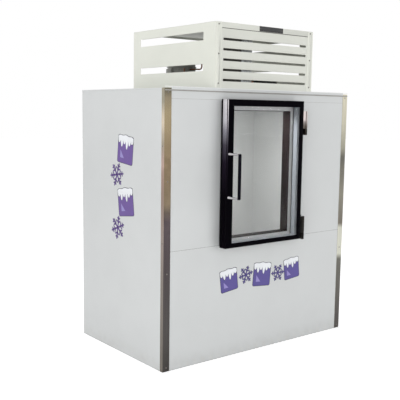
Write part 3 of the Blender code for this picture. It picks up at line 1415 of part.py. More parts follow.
def controls(looks):
    """The control box with its thermostat knob, rocker switch and cord gland."""
    low = control_box_low()
    high = low + Vector((CONTROL_WIDTH, CONTROL_DEPTH, CONTROL_HEIGHT))
    knob_place = on_control_face(KNOB_PLACE_share)
    switch_place = on_control_face(SWITCH_PLACE_share)
    gland_place = on_control_face(GLAND_PLACE_share)
    half = Vector((SWITCH_WIDTH / 2 + GAP * 2, SWITCH_POCKET, SWITCH_HEIGHT / 2 + GAP * 4))
    pocket = shape(box, (switch_place - half, switch_place + half))
    body = shape(box, (low, high))
    gland = bmesh.new()
    gland_profile = [
        (0, -OVERRUN),
        (GLAND_NUT_RADIUS, -OVERRUN),
        (GLAND_NUT_RADIUS, GLAND_NUT_LENGTH),
        (GLAND_RADIUS, GLAND_NUT_LENGTH),
        (GLAND_RADIUS * GLAND_TIP_share, GLAND_LENGTH),
        (0, GLAND_LENGTH),
    ]
    turned(gland, gland_profile, gland_place, "Y")
    piece("control_box", body, looks["control"], joined=[gland], cut=[pocket])
    knob(looks, knob_place)
    rocker(looks, switch_place)


def knob(looks, place):
    """The thermostat knob, with a skirt and a raised pointer rib."""
    bm = bmesh.new()
    profile = [
        (0, GAP),
        (KNOB_SKIRT_RADIUS, GAP),
        (KNOB_SKIRT_RADIUS, GAP + KNOB_SKIRT),
        (KNOB_RADIUS, GAP + KNOB_SKIRT),
        (KNOB_RADIUS, KNOB_HEIGHT),
        (0, KNOB_HEIGHT),
    ]
    turned(bm, profile, place, "Y")
    rib_low = place + Vector((-KNOB_POINTER / 2, KNOB_HEIGHT - KNOB_POINTER, 0))
    rib_high = place + Vector((KNOB_POINTER / 2, KNOB_HEIGHT + KNOB_POINTER, KNOB_RADIUS))
    rib = shape(box, (rib_low, rib_high))
    obj = piece("temperature_knob", bm, looks["switch"], joined=[rib])
    on_axis("temperature_knob_axis", place, [obj])


def rocker(looks, place):
    """The power switch: a rocker that pivots in its pocket, pressed at its top."""
    half_width = SWITCH_WIDTH / 2
    half_height = SWITCH_HEIGHT / 2 - SWITCH_FRAME / 2
    rise = SWITCH_THICKNESS / 2
    outline = [
        (place.y - rise, place.z - half_height),
        (place.y - rise, place.z + half_height),
        (place.y + rise, place.z + half_height),
        (place.y + rise / 2, place.z),
        (place.y + rise, place.z - half_height),
    ]
    bm = bmesh.new()
    prism(bm, outline, "X", place.x - half_width, place.x + half_width)
    tilt = Matrix.Translation(place) @ Matrix.Rotation(-SWITCH_TILT, 4, "X") @ Matrix.Translation(-place)
    bmesh.ops.transform(bm, matrix=tilt, verts=bm.verts)
    obj = piece("power_switch", bm, looks["switch"])
    on_axis("power_switch_axis", place, [obj])


def main():
    """Builds the whole merchandiser."""
    clear_scene()
    looks = finishes()
    outer_shell(looks)
    roof(looks)
    corner_trims(looks)
    insulation(looks)
    liner(looks)
    floor_racks(looks)
    floor_drain(looks)
    evaporator(looks)
    interior_light(looks)
    door(looks)
    side_panel("housing_left_panel", -1, looks)
    side_panel("housing_right_panel", 1, looks)
    louvre_panel(looks)
    top_cover(looks)
    condensing_unit(looks)
    compressor(looks)
    receiver(looks)
    discharge_line(looks)
    liquid_line(looks)
    suction_line(looks)
    controls(looks)


main()
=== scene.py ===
"""The looks of an indoor ice merchandiser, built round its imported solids.

Lengths are metres, +Z is up, +X runs to the right along the front and the door opens towards
-Y. Each sub-assembly is a class whose fields hold its sizes, and each finish is a small class
that makes one material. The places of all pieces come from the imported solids.
"""

from __future__ import annotations

import json
import logging
import math
from dataclasses import dataclass, field, replace
from enum import Enum
from functools import cache
from typing import Sequence

import bmesh
import bpy
from mathutils import Matrix, Vector


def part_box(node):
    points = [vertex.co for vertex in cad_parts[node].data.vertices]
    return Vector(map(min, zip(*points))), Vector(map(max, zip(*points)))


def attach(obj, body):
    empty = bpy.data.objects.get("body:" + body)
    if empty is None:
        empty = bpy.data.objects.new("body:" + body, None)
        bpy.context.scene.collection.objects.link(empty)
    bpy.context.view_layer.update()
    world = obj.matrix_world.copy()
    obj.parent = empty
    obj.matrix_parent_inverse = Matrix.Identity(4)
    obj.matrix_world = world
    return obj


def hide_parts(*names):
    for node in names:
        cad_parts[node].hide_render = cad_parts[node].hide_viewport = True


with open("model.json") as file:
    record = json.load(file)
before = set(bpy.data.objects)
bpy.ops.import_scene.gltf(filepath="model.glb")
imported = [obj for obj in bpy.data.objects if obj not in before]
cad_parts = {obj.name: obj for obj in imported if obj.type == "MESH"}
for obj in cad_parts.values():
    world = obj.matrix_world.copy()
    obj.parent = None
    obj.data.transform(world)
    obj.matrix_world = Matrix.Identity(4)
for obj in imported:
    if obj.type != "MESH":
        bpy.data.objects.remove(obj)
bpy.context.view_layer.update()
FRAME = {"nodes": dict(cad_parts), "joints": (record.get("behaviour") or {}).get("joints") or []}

LOG = logging.getLogger("ice_merchandiser")

Colour = tuple[float, float, float]
Span = tuple[float, float]
Point = Sequence[float]
Outline = Sequence[tuple[float, float]]
Tones = Sequence[tuple[float, Colour]]
Socket = bpy.types.NodeSocket

HAIR = 0.0002
WELD_DISTANCE = 0.00002
SMOOTH_ANGLE = math.radians(38)
SHARP_ANGLE = math.radians(30)
FLAT_ANGLE = math.radians(0.5)
SOFTEN_ANGLE = math.radians(50)
QUARTER = math.radians(90)
HEX_SIDES = 6
WIRE_SIDES = 10
SMALL_SIDES = 16
WHITE: Colour = (1.0, 1.0, 1.0)
MIDDLE: Span = (0.3, 0.7)
WHOLE: Span = (0.0, 1.0)


class Body(Enum):
    """The moving groups that a piece can ride on."""

    CABINET = "cabinet"
    DOOR = "door"
    CONDENSER_FAN = "condenser_fan"
    EVAPORATOR_FAN = "evaporator_fan"
    KNOB = "temperature_knob"
    SWITCH = "power_switch"
    RACK_LEFT = "floor_rack_left"
    RACK_RIGHT = "floor_rack_right"


class Axis(Enum):
    """The three axes, each with its direction."""

    X = (1.0, 0.0, 0.0)
    Y = (0.0, 1.0, 0.0)
    Z = (0.0, 0.0, 1.0)

    @property
    def line(self) -> Vector:
        """The axis as a vector."""
        return Vector(self.value)

    def at(self, across: Point, level: float) -> Vector:
        """A point from two coordinates across this axis and one along it.

        Args:
            across: the other two coordinates, in X, Y, Z order.
            level: the coordinate along this axis.

        Returns:
            The point in X, Y, Z.
        """
        point = list(across)
        point.insert("XYZ".index(self.name), level)
        return Vector(point)


@dataclass(frozen=True)
class Noise:
    """Soft noise: how many patches lie in a metre, and how many finer layers are added.

    The span is the lowest and highest noise that is read, and the next span is what those two
    become. The stretch is the pattern's scale along each axis.
    """

    scale: float
    detail: float
    span: Span = MIDDLE
    into: Span = WHOLE
    stretch: Point = (1, 1, 1)

    def raised(self, level: float) -> Noise:
        """The same noise with a level added to what it becomes."""
        return replace(self, into=(self.into[0] + level, self.into[1] + level))


class Nodes:
    """A tree of shading nodes, and short calls that add and join them."""

    def __init__(self, tree: bpy.types.NodeTree) -> None:
        """Takes over a tree."""
        self.tree = tree

    def add(self, kind: str, **settings: object) -> bpy.types.Node:
        """Adds a node and sets its own properties.

        Args:
            kind: the node's type without its ShaderNode prefix.
            settings: property names and their values.

        Returns:
            The new node.
        """
        node = self.tree.nodes.new(f"ShaderNode{kind}")
        for name, value in settings.items():
            setattr(node, name, value)
        return node

    def feed(self, socket: Socket, value: object) -> None:
        """Links a socket to another, or sets its value.

        Args:
            socket: the input.
            value: an output socket, a number or a colour.
        """
        if isinstance(value, Socket):
            self.tree.links.new(value, socket)
        elif socket.type == "RGBA" and isinstance(value, tuple):
            socket.default_value = (*value, 1.0)
        else:
            socket.default_value = value

    def wire(self, node: bpy.types.Node, **inputs: object) -> bpy.types.Node:
        """Feeds a node's inputs by name.

        Args:
            node: the node.
            inputs: the inputs' names, with underscores for spaces, and what they get.

        Returns:
            The same node.
        """
        for name, value in inputs.items():
            self.feed(node.inputs[name.replace("_", " ")], value)
        return node

    def joined(self, kind: str, *values: object, **settings: object) -> Socket:
        """Adds a node and feeds its first inputs in order.

        Args:
            kind: the node's type without its ShaderNode prefix.
            values: what the inputs get.
            settings: property names and their values.

        Returns:
            The node's first output.
        """
        node = self.add(kind, **settings)
        for socket, value in zip(node.inputs, values):
            self.feed(socket, value)
        return node.outputs[0]


class Shading(Nodes):
    """A material in the making, with the patterns that the finishes share."""

    def __init__(self, name: str) -> None:
        """Starts a material of a given name with a principled shader.

        Args:
            name: the material's name.
        """
        self.material = bpy.data.materials.new(name)
        self.material.use_nodes = True
        super().__init__(self.material.node_tree)
        self.shader = self.tree.nodes["Principled BSDF"]
        self.source = self.add("TexCoord").outputs

    def set(self, **inputs: object) -> None:
        """Sets or links the shader's inputs, named with underscores for spaces."""
        self.wire(self.shader, **inputs)

    def along(self, axis: Axis, kind: str = "Object") -> Socket:
        """One part of the piece's own coordinates, or of its own normal ("Normal")."""
        return self.wire(self.add("SeparateXYZ"), Vector=self.source[kind]).outputs[axis.name]

    def rise(self, top: float) -> Socket:
        """The height as a share of a top height."""
        return self.wire(self.add("MapRange"), Value=self.along(Axis.Z), From_Max=top).outputs[0]

    def noise(self, noise: Noise) -> Socket:
        """Noise over the piece's own coordinates, as it is.

        Args:
            noise: its measures.

        Returns:
            The noise's factor.
        """
        place = self.wire(self.add("Mapping"), Vector=self.source["Object"], Scale=noise.stretch)
        node = self.wire(self.add("TexNoise"), Vector=place.outputs[0], Scale=noise.scale)
        return self.wire(node, Detail=noise.detail).outputs["Fac"]

    def cells(self, scale: float, feature: str = "F1", part: str = "Distance") -> Socket:
        """A cell pattern over the piece's own coordinates: one output of a kind of distance."""
        node = self.add("TexVoronoi", feature=feature)
        return self.wire(node, Vector=self.source["Object"], Scale=scale).outputs[part]

    def fitted(self, value: Socket, span: Span, into: Span = WHOLE) -> Socket:
        """Fits a value from one span into another and clips it there.

        Args:
            value: the value.
            span: the lowest and highest value that is read.
            into: what those two become.

        Returns:
            The fitted value.
        """
        node = self.add("MapRange", interpolation_type="SMOOTHSTEP")
        (low, high), (start, end) = span, into
        return self.wire(node, Value=value, From_Min=low, From_Max=high, To_Min=start, To_Max=end).outputs[0]

    def patches(self, noise: Noise) -> Socket:
        """Noise that is fitted from one span into another."""
        return self.fitted(self.noise(noise), noise.span, noise.into)

    def ramp(self, value: Socket, stops: Tones) -> Socket:
        """Turns a value into a colour by stops.

        Args:
            value: the value, from 0 to 1.
            stops: places between 0 and 1, each with its colour.

        Returns:
            The colour.
        """
        node = self.wire(self.add("ValToRGB"), Fac=value)
        elements = node.color_ramp.elements
        while len(elements) < len(stops):
            elements.new(1.0)
        for element, (place, colour) in zip(elements, stops):
            element.position = place
            element.color = (*colour, 1.0)
        return node.outputs[0]

    def mixed(self, amount: object, first: object, second: object, how: str = "MIX") -> Socket:
        """Mixes two colours by an amount.

        Args:
            amount: how much of the second shows.
            first: a colour or a socket.
            second: a colour or a socket.
            how: the way that they mix.

        Returns:
            The mixed colour.
        """
        node = self.wire(self.add("Mix", data_type="RGBA", blend_type=how), Factor=amount)
        colours = [socket for socket in node.inputs if socket.type == "RGBA"]
        for socket, value in zip(colours, (first, second)):
            self.feed(socket, value)
        return next(socket for socket in node.outputs if socket.type == "RGBA")

    def product(self, *values: object) -> Socket:
        """Two values multiplied."""
        return self.joined("Math", *values, operation="MULTIPLY")

    def bump(self, height: Socket, depth: float, under: Socket | None = None) -> Socket:
        """A normal that follows a height.

        Args:
            height: the height, from 0 to 1.
            depth: how many metres a height of 1 stands for.
            under: another normal that this one lies on.

        Returns:
            The normal.
        """
        node = self.wire(self.add("Bump"), Height=height, Distance=depth)
        if under is not None:
            self.wire(node, Normal=under)
        return node.outputs[0]

    def relief(self, noise: Noise, depth: float, under: Socket | None = None) -> Socket:
        """A normal that follows noise of a depth in metres, over another normal."""
        return self.bump(self.noise(noise), depth, under)


@dataclass(frozen=True)
class Finish:
    """What every finish has: its name, the record's slot that it stands for, and its colour."""

    name: str
    slot: str
    colour: Colour

    @cache
    def material(self) -> bpy.types.Material:
        """The finish as a material, made once and then reused.

        Returns:
            The material.
        """
        shading = Shading(self.name)
        self.paint(shading)
        return shading.material

    def paint(self, shading: Shading) -> None:
        """Adds the finish's own nodes to a material in the making."""
        raise NotImplementedError

    def shade(self, share: float) -> Colour:
        """The colour, darkened or lightened by a share."""
        return tuple(channel * share for channel in self.colour)


@dataclass(frozen=True)
class Enamel(Finish):
    """Baked enamel on sheet steel: fine orange peel, slow waves of the sheet and faint marks."""

    roughness: float = 0.36
    wear: Noise = Noise(9.0, 5.0, (0.35, 0.7), (-0.05, 0.07))
    mottle: Noise = Noise(5.0, 4.0)
    mottle_shade: float = 0.975
    grime: Colour = (0.36, 0.34, 0.30)
    grime_top: float = 0.10
    grime_most: float = 0.22
    marks: Noise = Noise(22.0, 6.0, (0.3, 0.8), (0.2, 1.0))
    wave: Noise = Noise(1.7, 1.0)
    wave_depth: float = 0.0016
    peel: Noise = Noise(620.0, 2.0)
    peel_depth: float = 0.000018
    lacquer: float = 0.25
    lacquer_roughness: float = 0.12

    def paint(self, shading: Shading) -> None:
        """Paints the enamel with its faint mottling, floor grime and uneven gloss.

        Args:
            shading: its material in the making.
        """
        colour = shading.mixed(shading.patches(self.mottle), self.colour, self.shade(self.mottle_shade))
        low = shading.fitted(shading.along(Axis.Z), (0.0, self.grime_top), (self.grime_most, 0.0))
        colour = shading.mixed(shading.product(low, shading.patches(self.marks)), colour, self.grime)
        sheet = shading.relief(self.wave, self.wave_depth)
        normal = shading.relief(self.peel, self.peel_depth, sheet)
        rubbed = shading.patches(self.wear.raised(self.roughness))
        shading.set(Base_Color=colour, Roughness=rubbed, Normal=normal)
        shading.set(Coat_Weight=self.lacquer, Coat_Roughness=self.lacquer_roughness)


@dataclass(frozen=True)
class StuccoLiner(Finish):
    """White liner sheet with the pebbled emboss that such compartments are lined with."""

    pebbles: float = 115.0
    pebble_reach: float = 0.7
    depth: float = 0.00045
    hollow_reach: float = 0.6
    hollow_shade: float = 0.90
    bloom: Noise = Noise(3.0, 5.0, (0.4, 0.75))
    bloom_shade: float = 0.93
    wear: Noise = Noise(18.0, 3.0, into=(0.30, 0.46))

    def paint(self, shading: Shading) -> None:
        """Paints the sheet with rounded pebbles, painted shade in their hollows and a little frost bloom.

        Args:
            shading: its material in the making.
        """
        pebble = shading.cells(self.pebbles, "SMOOTH_F1")
        colour = shading.mixed(shading.patches(self.bloom), self.colour, self.shade(self.bloom_shade))
        # painted shade: the hollows between the pebbles are darkened
        hollow = shading.fitted(pebble, (0.0, self.hollow_reach), (1.0, self.hollow_shade))
        colour = shading.mixed(0.5, colour, hollow, "MULTIPLY")
        height = shading.fitted(pebble, (0.0, self.pebble_reach), (1.0, 0.0))
        rough = shading.patches(self.wear)
        shading.set(Base_Color=colour, Roughness=rough, Normal=shading.bump(height, self.depth))


@dataclass(frozen=True)
class PolishedSheet(Finish):
    """Tinted polished sheet: fine upright brushing, and a painted reflection whose tone changes up its
    height and between faces that look forward and sideways.
    """

    painted_light_tones: Tones = ()
    side_painted_light_tones: Tones = ()
    top: float = 1.62
    drift: Noise = Noise(9.0, 2.0, stretch=(1, 1, 0.5))
    wander: float = 0.016
    turn: Span = (0.55, 0.85)
    streak: Noise = Noise(260.0, 2.0, into=(0.86, 1.0), stretch=(1, 1, 0.006))
    smudge: Noise = Noise(22.0, 6.0, (0.4, 0.75), (0.14, 0.26))
    brush: Noise = Noise(900.0, 1.0, stretch=(1, 1, 0.012))
    brush_depth: float = 0.00001
    pull: float = 0.5

    def paint(self, shading: Shading) -> None:
        """Paints the sheet with its brushing, a painted reflection that changes tone up its height, and its
        smudges.

        Args:
            shading: its material in the making.
        """
        drift, rise = shading.noise(self.drift), shading.rise(self.top)
        rise = shading.joined("Math", drift, self.wander, rise, operation="MULTIPLY_ADD")
        shift = self.wander / 2
        front, side = (
            shading.ramp(rise, [(level / self.top + shift, tone) for level, tone in painted_light_tones])
            for painted_light_tones in (self.painted_light_tones, self.side_painted_light_tones)
        )
        # painted reflection: faces that look sideways take the side tones, faces that look forward the front
        # tones
        sideways = shading.joined("Math", shading.along(Axis.X, "Normal"), operation="ABSOLUTE")
        colour = shading.mixed(shading.fitted(sideways, self.turn), front, side)
        colour = shading.mixed(1.0, colour, shading.patches(self.streak), "MULTIPLY")
        normal = shading.relief(self.brush, self.brush_depth)
        shading.set(Base_Color=colour, Roughness=shading.patches(self.smudge), Normal=normal)
        shading.set(Metallic=1.0, Anisotropic=self.pull)


@dataclass(frozen=True)
class PlatedMetal(Finish):
    """Bright plated or bare metal with smudges and tiny pits."""

    roughness: float = 0.12
    smudge: Noise = Noise(45.0, 6.0, (0.35, 0.75), (0.0, 0.16))
    cloud: Noise = Noise(16.0, 4.0)
    cloud_shade: float = 0.84
    pits: Noise = Noise(480.0, 3.0)
    pit_depth: float = 0.00003

    def paint(self, shading: Shading) -> None:
        """Paints the plating with its smudges and pits.

        Args:
            shading: its material in the making.
        """
        colour = shading.mixed(shading.patches(self.cloud), self.colour, self.shade(self.cloud_shade))
        rough = shading.patches(self.smudge.raised(self.roughness))
        normal = shading.relief(self.pits, self.pit_depth)
        shading.set(Base_Color=colour, Roughness=rough, Metallic=1.0, Normal=normal)


@dataclass(frozen=True)
class SpangledZinc(Finish):
    """Galvanised steel with its crystal spangle."""

    spangle: float = 85.0
    spangle_span: Span = (0.2, 0.8)
    spangle_shade: float = 0.72
    spangle_gloss: Span = (0.30, 0.52)
    spangle_depth: float = 0.00004
    stain: Colour = (0.30, 0.29, 0.27)
    stains: Noise = Noise(7.0, 6.0, (0.5, 0.8), (0.0, 0.35))
    metal: float = 0.85

    def paint(self, shading: Shading) -> None:
        """Paints the spangle as cells that differ in tone and gloss.

        Args:
            shading: its material in the making.
        """
        grey = shading.joined("RGBToBW", shading.cells(self.spangle, "F1", "Color"))
        tone = shading.fitted(grey, self.spangle_span)
        colour = shading.mixed(tone, self.colour, self.shade(self.spangle_shade))
        colour = shading.mixed(shading.patches(self.stains), colour, self.stain)
        rough = shading.fitted(grey, self.spangle_span, self.spangle_gloss)
        normal = shading.bump(grey, self.spangle_depth)
        shading.set(Base_Color=colour, Roughness=rough, Metallic=self.metal, Normal=normal)


@dataclass(frozen=True)
class MouldedPlastic(Finish):
    """Moulded or extruded plastic: a fine grain, faint scuffs and dust in a soft gloss."""

    roughness: float = 0.42
    grain_depth: float = 0.00004
    coat: float = 0.0
    scuff: float = 0.05
    mirror: float = 0.5
    wear: Noise = Noise(30.0, 4.0, into=(-0.04, 0.08))
    scuffs: Noise = Noise(60.0, 6.0, (0.55, 0.8), stretch=(1, 1, 0.2))
    dust: float = 0.22
    dust_share: float = 0.5
    grain: Noise = Noise(1300.0, 2.0)
    coat_roughness: float = 0.06

    def paint(self, shading: Shading) -> None:
        """Paints the plastic with its grain and its scuffs.

        Args:
            shading: its material in the making.
        """
        marks = shading.patches(replace(self.scuffs, into=(0.0, self.scuff)))
        dusty = tuple(channel * self.dust_share + self.dust for channel in self.colour)
        rough = shading.patches(self.wear.raised(self.roughness))
        normal = shading.relief(self.grain, self.grain_depth)
        shading.set(Base_Color=shading.mixed(marks, self.colour, dusty), Roughness=rough, Normal=normal)
        shading.set(Coat_Weight=self.coat, Coat_Roughness=self.coat_roughness)
        shading.set(Specular_IOR_Level=self.mirror)


@dataclass(frozen=True)
class StileWithPaintedHighlight(Finish):
    """Black drawn profile with a painted highlight: two bands on its side that brighten towards the top."""

    highlight_bands: tuple[Span, ...] = ((-0.5215, -0.4860), (-0.5325, -0.5285))
    soft: float = 0.0012
    painted_light_tones: Tones = (
        (1.00, (0.004, 0.003, 0.005)),
        (1.20, (0.020, 0.014, 0.026)),
        (1.30, (0.085, 0.076, 0.100)),
        (1.38, (0.340, 0.325, 0.375)),
        (1.44, (0.720, 0.690, 0.740)),
        (1.54, (0.880, 0.850, 0.880)),
    )
    top: float = 1.62
    turn: Span = (-0.9, -0.6)
    grain: Noise = Noise(900.0, 1.0, stretch=(1, 1, 0.02))
    grain_depth: float = 0.00001
    roughness: float = 0.24
    mirror: float = 0.01

    def paint(self, shading: Shading) -> None:
        """Lays the painted highlight bands on the faces that look left, and plain black elsewhere.

        Args:
            shading: its material in the making.
        """
        tone = shading.ramp(shading.rise(self.top), [(level / self.top, hue) for level, hue in self.painted_light_tones])
        left = shading.fitted(shading.along(Axis.X, "Normal"), self.turn, (1.0, 0.0))
        depth = shading.along(Axis.Y)
        highlight_bands = []
        for low, high in self.highlight_bands:
            start = shading.fitted(depth, (low - self.soft, low + self.soft))
            end = shading.fitted(depth, (high - self.soft, high + self.soft), (1.0, 0.0))
            highlight_bands.append(shading.product(shading.product(start, end), left))
        # painted highlight: the bands' strength, which also makes them metallic
        shine = shading.joined("Math", *highlight_bands, operation="MAXIMUM")
        shading.set(Base_Color=shading.mixed(shine, self.colour, tone), Metallic=shine)
        shading.set(Roughness=self.roughness, Normal=shading.relief(self.grain, self.grain_depth))
        shading.set(Specular_IOR_Level=self.mirror)


@dataclass(frozen=True)
class MachinePaint(Finish):
    """Thick satin paint on a machine's casing, with dust on what faces up."""

    roughness: float = 0.42
    wear: Noise = Noise(70.0, 4.0, into=(-0.06, 0.12))
    dust: Colour = (0.20, 0.19, 0.17)
    dust_most: float = 0.5
    dust_tilt: Span = (0.3, 1.0)
    dust_patches: Noise = Noise(28.0, 6.0, (0.35, 0.7), (0.3, 1.0))
    grain: Noise = Noise(240.0, 3.0)
    grain_depth: float = 0.00012

    def paint(self, shading: Shading) -> None:
        """Paints the casing with its dust, brushed on by the way the surface faces.

        Args:
            shading: its material in the making.
        """
        up = shading.fitted(shading.along(Axis.Z, "Normal"), self.dust_tilt, (0.0, self.dust_most))
        amount = shading.product(up, shading.patches(self.dust_patches))
        rough = shading.patches(self.wear.raised(self.roughness))
        shading.set(Base_Color=shading.mixed(amount, self.colour, self.dust), Roughness=rough)
        shading.set(Normal=shading.relief(self.grain, self.grain_depth))


@dataclass(frozen=True)
class CopperTube(Finish):
    """Drawn copper, brown where it has aged and pink where it was handled."""

    tarnish: Colour = (0.26, 0.12, 0.07)
    aged: Noise = Noise(14.0, 6.0, (0.42, 0.66))
    wear: Noise = Noise(30.0, 4.0, into=(0.22, 0.48))
    grain: Noise = Noise(300.0, 2.0)
    grain_depth: float = 0.00005

    def paint(self, shading: Shading) -> None:
        """Paints the copper with patches of tarnish.

        Args:
            shading: its material in the making.
        """
        colour = shading.mixed(shading.patches(self.aged), self.colour, self.tarnish)
        shading.set(Base_Color=colour, Roughness=shading.patches(self.wear), Metallic=1.0)
        shading.set(Normal=shading.relief(self.grain, self.grain_depth))


@dataclass(frozen=True)
class FoamRubber(Finish):
    """Closed-cell rubber: matt, faintly pitted and chalky in patches."""

    pits: float = 420.0
    depth: float = 0.00025
    chalk: Colour = (0.12, 0.12, 0.12)
    chalky: Noise = Noise(20.0, 5.0, (0.45, 0.8), (0.0, 0.25))
    roughness: float = 0.78

    def paint(self, shading: Shading) -> None:
        """Paints the rubber with its pits and chalky patches.

        Args:
            shading: its material in the making.
        """
        colour = shading.mixed(shading.patches(self.chalky), self.colour, self.chalk)
        normal = shading.bump(shading.cells(self.pits), self.depth)
        shading.set(Base_Color=colour, Roughness=self.roughness, Normal=normal)


@dataclass(frozen=True)
class BlownFoam(Finish):
    """Rigid blown foam: an open, uneven yellow skin."""

    bubbles: float = 260.0
    depth: float = 0.0006
    dark: Noise = Noise(12.0, 5.0)
    dark_shade: float = 0.78
    roughness: float = 0.9

    def paint(self, shading: Shading) -> None:
        """Paints the foam with its cells and darker patches.

        Args:
            shading: its material in the making.
        """
        colour = shading.mixed(shading.patches(self.dark), self.colour, self.shade(self.dark_shade))
        normal = shading.bump(shading.cells(self.bubbles), self.depth)
        shading.set(Base_Color=colour, Roughness=self.roughness, Normal=normal)


@dataclass(frozen=True)
class ClearGlass(Finish):
    """Clear pane: it lets light straight through and mirrors a little, with faint smears."""

    alpha: float = 0.013
    smears: Noise = Noise(7.0, 5.0, (0.45, 0.75), (0.0, 0.04), (1, 1, 0.5))
    bending: float = 1.5

    def paint(self, shading: Shading) -> None:
        """Paints the pane with wiped smears in its gloss."""
        shading.set(Base_Color=self.colour, Roughness=shading.patches(self.smears), Alpha=self.alpha)
        shading.set(Transmission_Weight=1.0, IOR=self.bending)


@dataclass(frozen=True)
class LampLens(Finish):
    """Frosted lens that glows evenly."""

    strength: float = 4.0
    roughness: float = 0.35
    prisms: Noise = Noise(260.0, 1.0, stretch=(0.05, 1, 1))
    depth: float = 0.0004

    def paint(self, shading: Shading) -> None:
        """Paints the lens with fine prisms that glow."""
        shading.set(Base_Color=self.colour, Roughness=self.roughness, Emission_Color=self.colour)
        shading.set(Emission_Strength=self.strength, Normal=shading.relief(self.prisms, self.depth))


@dataclass(frozen=True)
class PrintedFilm(Finish):
    """Printed adhesive film: even ink with a faint dot grain and a satin top."""

    dots: Noise = Noise(380.0, 2.0)
    dot_shade: float = 0.93
    drift: Noise = Noise(6.0, 3.0, into=(0.0, 0.5))
    drift_shade: float = 1.08
    wear: Noise = Noise(15.0, 3.0, into=(0.34, 0.44))
    grain: Noise = Noise(620.0, 2.0)
    grain_depth: float = 0.00002

    def paint(self, shading: Shading) -> None:
        """Paints the ink with its grain and small changes of tone.

        Args:
            shading: its material in the making.
        """
        colour = shading.mixed(shading.patches(self.dots), self.colour, self.shade(self.dot_shade))
        colour = shading.mixed(shading.patches(self.drift), colour, self.shade(self.drift_shade))
        shading.set(Base_Color=colour, Roughness=shading.patches(self.wear))
        shading.set(Normal=shading.relief(self.grain, self.grain_depth))


WHITE_CASE = Enamel("white_case_enamel", "white_case", (0.630, 0.645, 0.645))
# a brighter copy of the case enamel: a painted highlight on the roof's hem
WHITE_CASE_PAINTED_HIGHLIGHT = Enamel("case_enamel_painted_highlight", "white_case", (0.88, 0.89, 0.87))
# lit and shaded copies of the cream enamel: painted shade on the housing's front and cover, painted light on
# its sides
CREAM_HOUSING_PAINTED_SHADE = Enamel("cream_housing_painted_shade", "cream_housing", (0.690, 0.700, 0.640), 0.45)
CREAM_SIDE_PAINTED_LIGHT = Enamel("cream_housing_side_painted_light", "cream_housing", (0.760, 0.772, 0.700), 0.45)
LINER = StuccoLiner("white_stucco_liner", "white_liner", (0.80, 0.81, 0.80))
COLD_CASE = Enamel("white_cold_case", "white_liner", (0.54, 0.55, 0.54), 0.45)
FOAM = BlownFoam("blown_foam", "insulating_foam", (0.80, 0.68, 0.36))
ZINC = SpangledZinc("spangled_zinc", "galvanised_steel", (0.56, 0.58, 0.59))
# painted reflections of the polished corner trims: tones up each trim's height, for faces that look forward
# and faces that look sideways
LEFT_PAINTED_REFLECTION = (
    (0.10, (0.112, 0.103, 0.098)),
    (0.30, (0.120, 0.110, 0.108)),
    (0.88, (0.125, 0.100, 0.108)),
    (0.93, (0.190, 0.150, 0.125)),
    (0.98, (0.400, 0.310, 0.210)),
    (1.20, (0.440, 0.330, 0.205)),
    (1.48, (0.430, 0.350, 0.215)),
    (1.56, (0.330, 0.275, 0.190)),
    (1.60, (0.185, 0.165, 0.120)),
)
LEFT_SIDE_PAINTED_REFLECTION = (
    (0.10, (0.270, 0.240, 0.210)),
    (0.55, (0.340, 0.300, 0.270)),
    (0.78, (0.450, 0.380, 0.345)),
    (1.11, (0.640, 0.460, 0.380)),
    (1.21, (0.880, 0.650, 0.560)),
    (1.31, (0.560, 0.490, 0.390)),
    (1.43, (0.780, 0.670, 0.530)),
    (1.49, (0.640, 0.560, 0.440)),
    (1.54, (0.400, 0.370, 0.290)),
)
RIGHT_PAINTED_REFLECTION = (
    (0.10, (0.155, 0.143, 0.135)),
    (0.49, (0.230, 0.225, 0.195)),
    (0.53, (0.860, 0.860, 0.740)),
    (0.71, (0.850, 0.850, 0.730)),
    (0.74, (0.280, 0.255, 0.215)),
    (0.94, (0.490, 0.465, 0.385)),
    (1.20, (0.265, 0.255, 0.220)),
    (1.26, (0.560, 0.540, 0.435)),
    (1.54, (0.700, 0.660, 0.525)),
)
RIGHT_SIDE_PAINTED_REFLECTION = ((0.40, (0.52, 0.51, 0.44)), (1.20, (0.64, 0.63, 0.54)))
# painted highlight and reflection on the hinges: bright tones near the top of the door's leaf, dark tones
# lower down and on the cabinet's leaf
HINGE_PAINTED_REFLECTION = (
    (0.80, (0.012, 0.011, 0.010)),
    (1.37, (0.022, 0.017, 0.013)),
    (1.41, (0.200, 0.170, 0.150)),
    (1.45, (0.860, 0.760, 0.740)),
)
FIXED_LEAF_PAINTED_REFLECTION = (
    (0.80, (0.012, 0.011, 0.010)),
    (1.37, (0.022, 0.017, 0.013)),
    (1.41, (0.085, 0.080, 0.065)),
)
HINGE_SIDE_PAINTED_REFLECTION = ((0.80, (0.046, 0.040, 0.036)), (1.45, (0.060, 0.050, 0.044)))
BRASSY = (0.52, 0.43, 0.29)
SILVERY = (0.66, 0.64, 0.54)
STEELY = (0.40, 0.37, 0.34)
DEEP_BLACK = (0.0020, 0.0016, 0.0028)
# the trims' brushed sheet carries the painted reflection tables above
LEFT_TRIM = PolishedSheet("left_trim_painted_reflection", "polished_trim", BRASSY, LEFT_PAINTED_REFLECTION, LEFT_SIDE_PAINTED_REFLECTION)
RIGHT_TRIM = PolishedSheet("right_trim_painted_reflection", "polished_trim", SILVERY, RIGHT_PAINTED_REFLECTION, RIGHT_SIDE_PAINTED_REFLECTION)
JAMB = MouldedPlastic(
    "jamb_extrusion", "dark_jamb", (0.007, 0.0035, 0.0035), 0.34, 0.00003, scuff=0.02, mirror=0.05
)
DOOR_BLACK = MouldedPlastic(
    "black_door_profile", "black_door_frame", DEEP_BLACK, 0.24, 0.00001, scuff=0.004, mirror=0.01
)
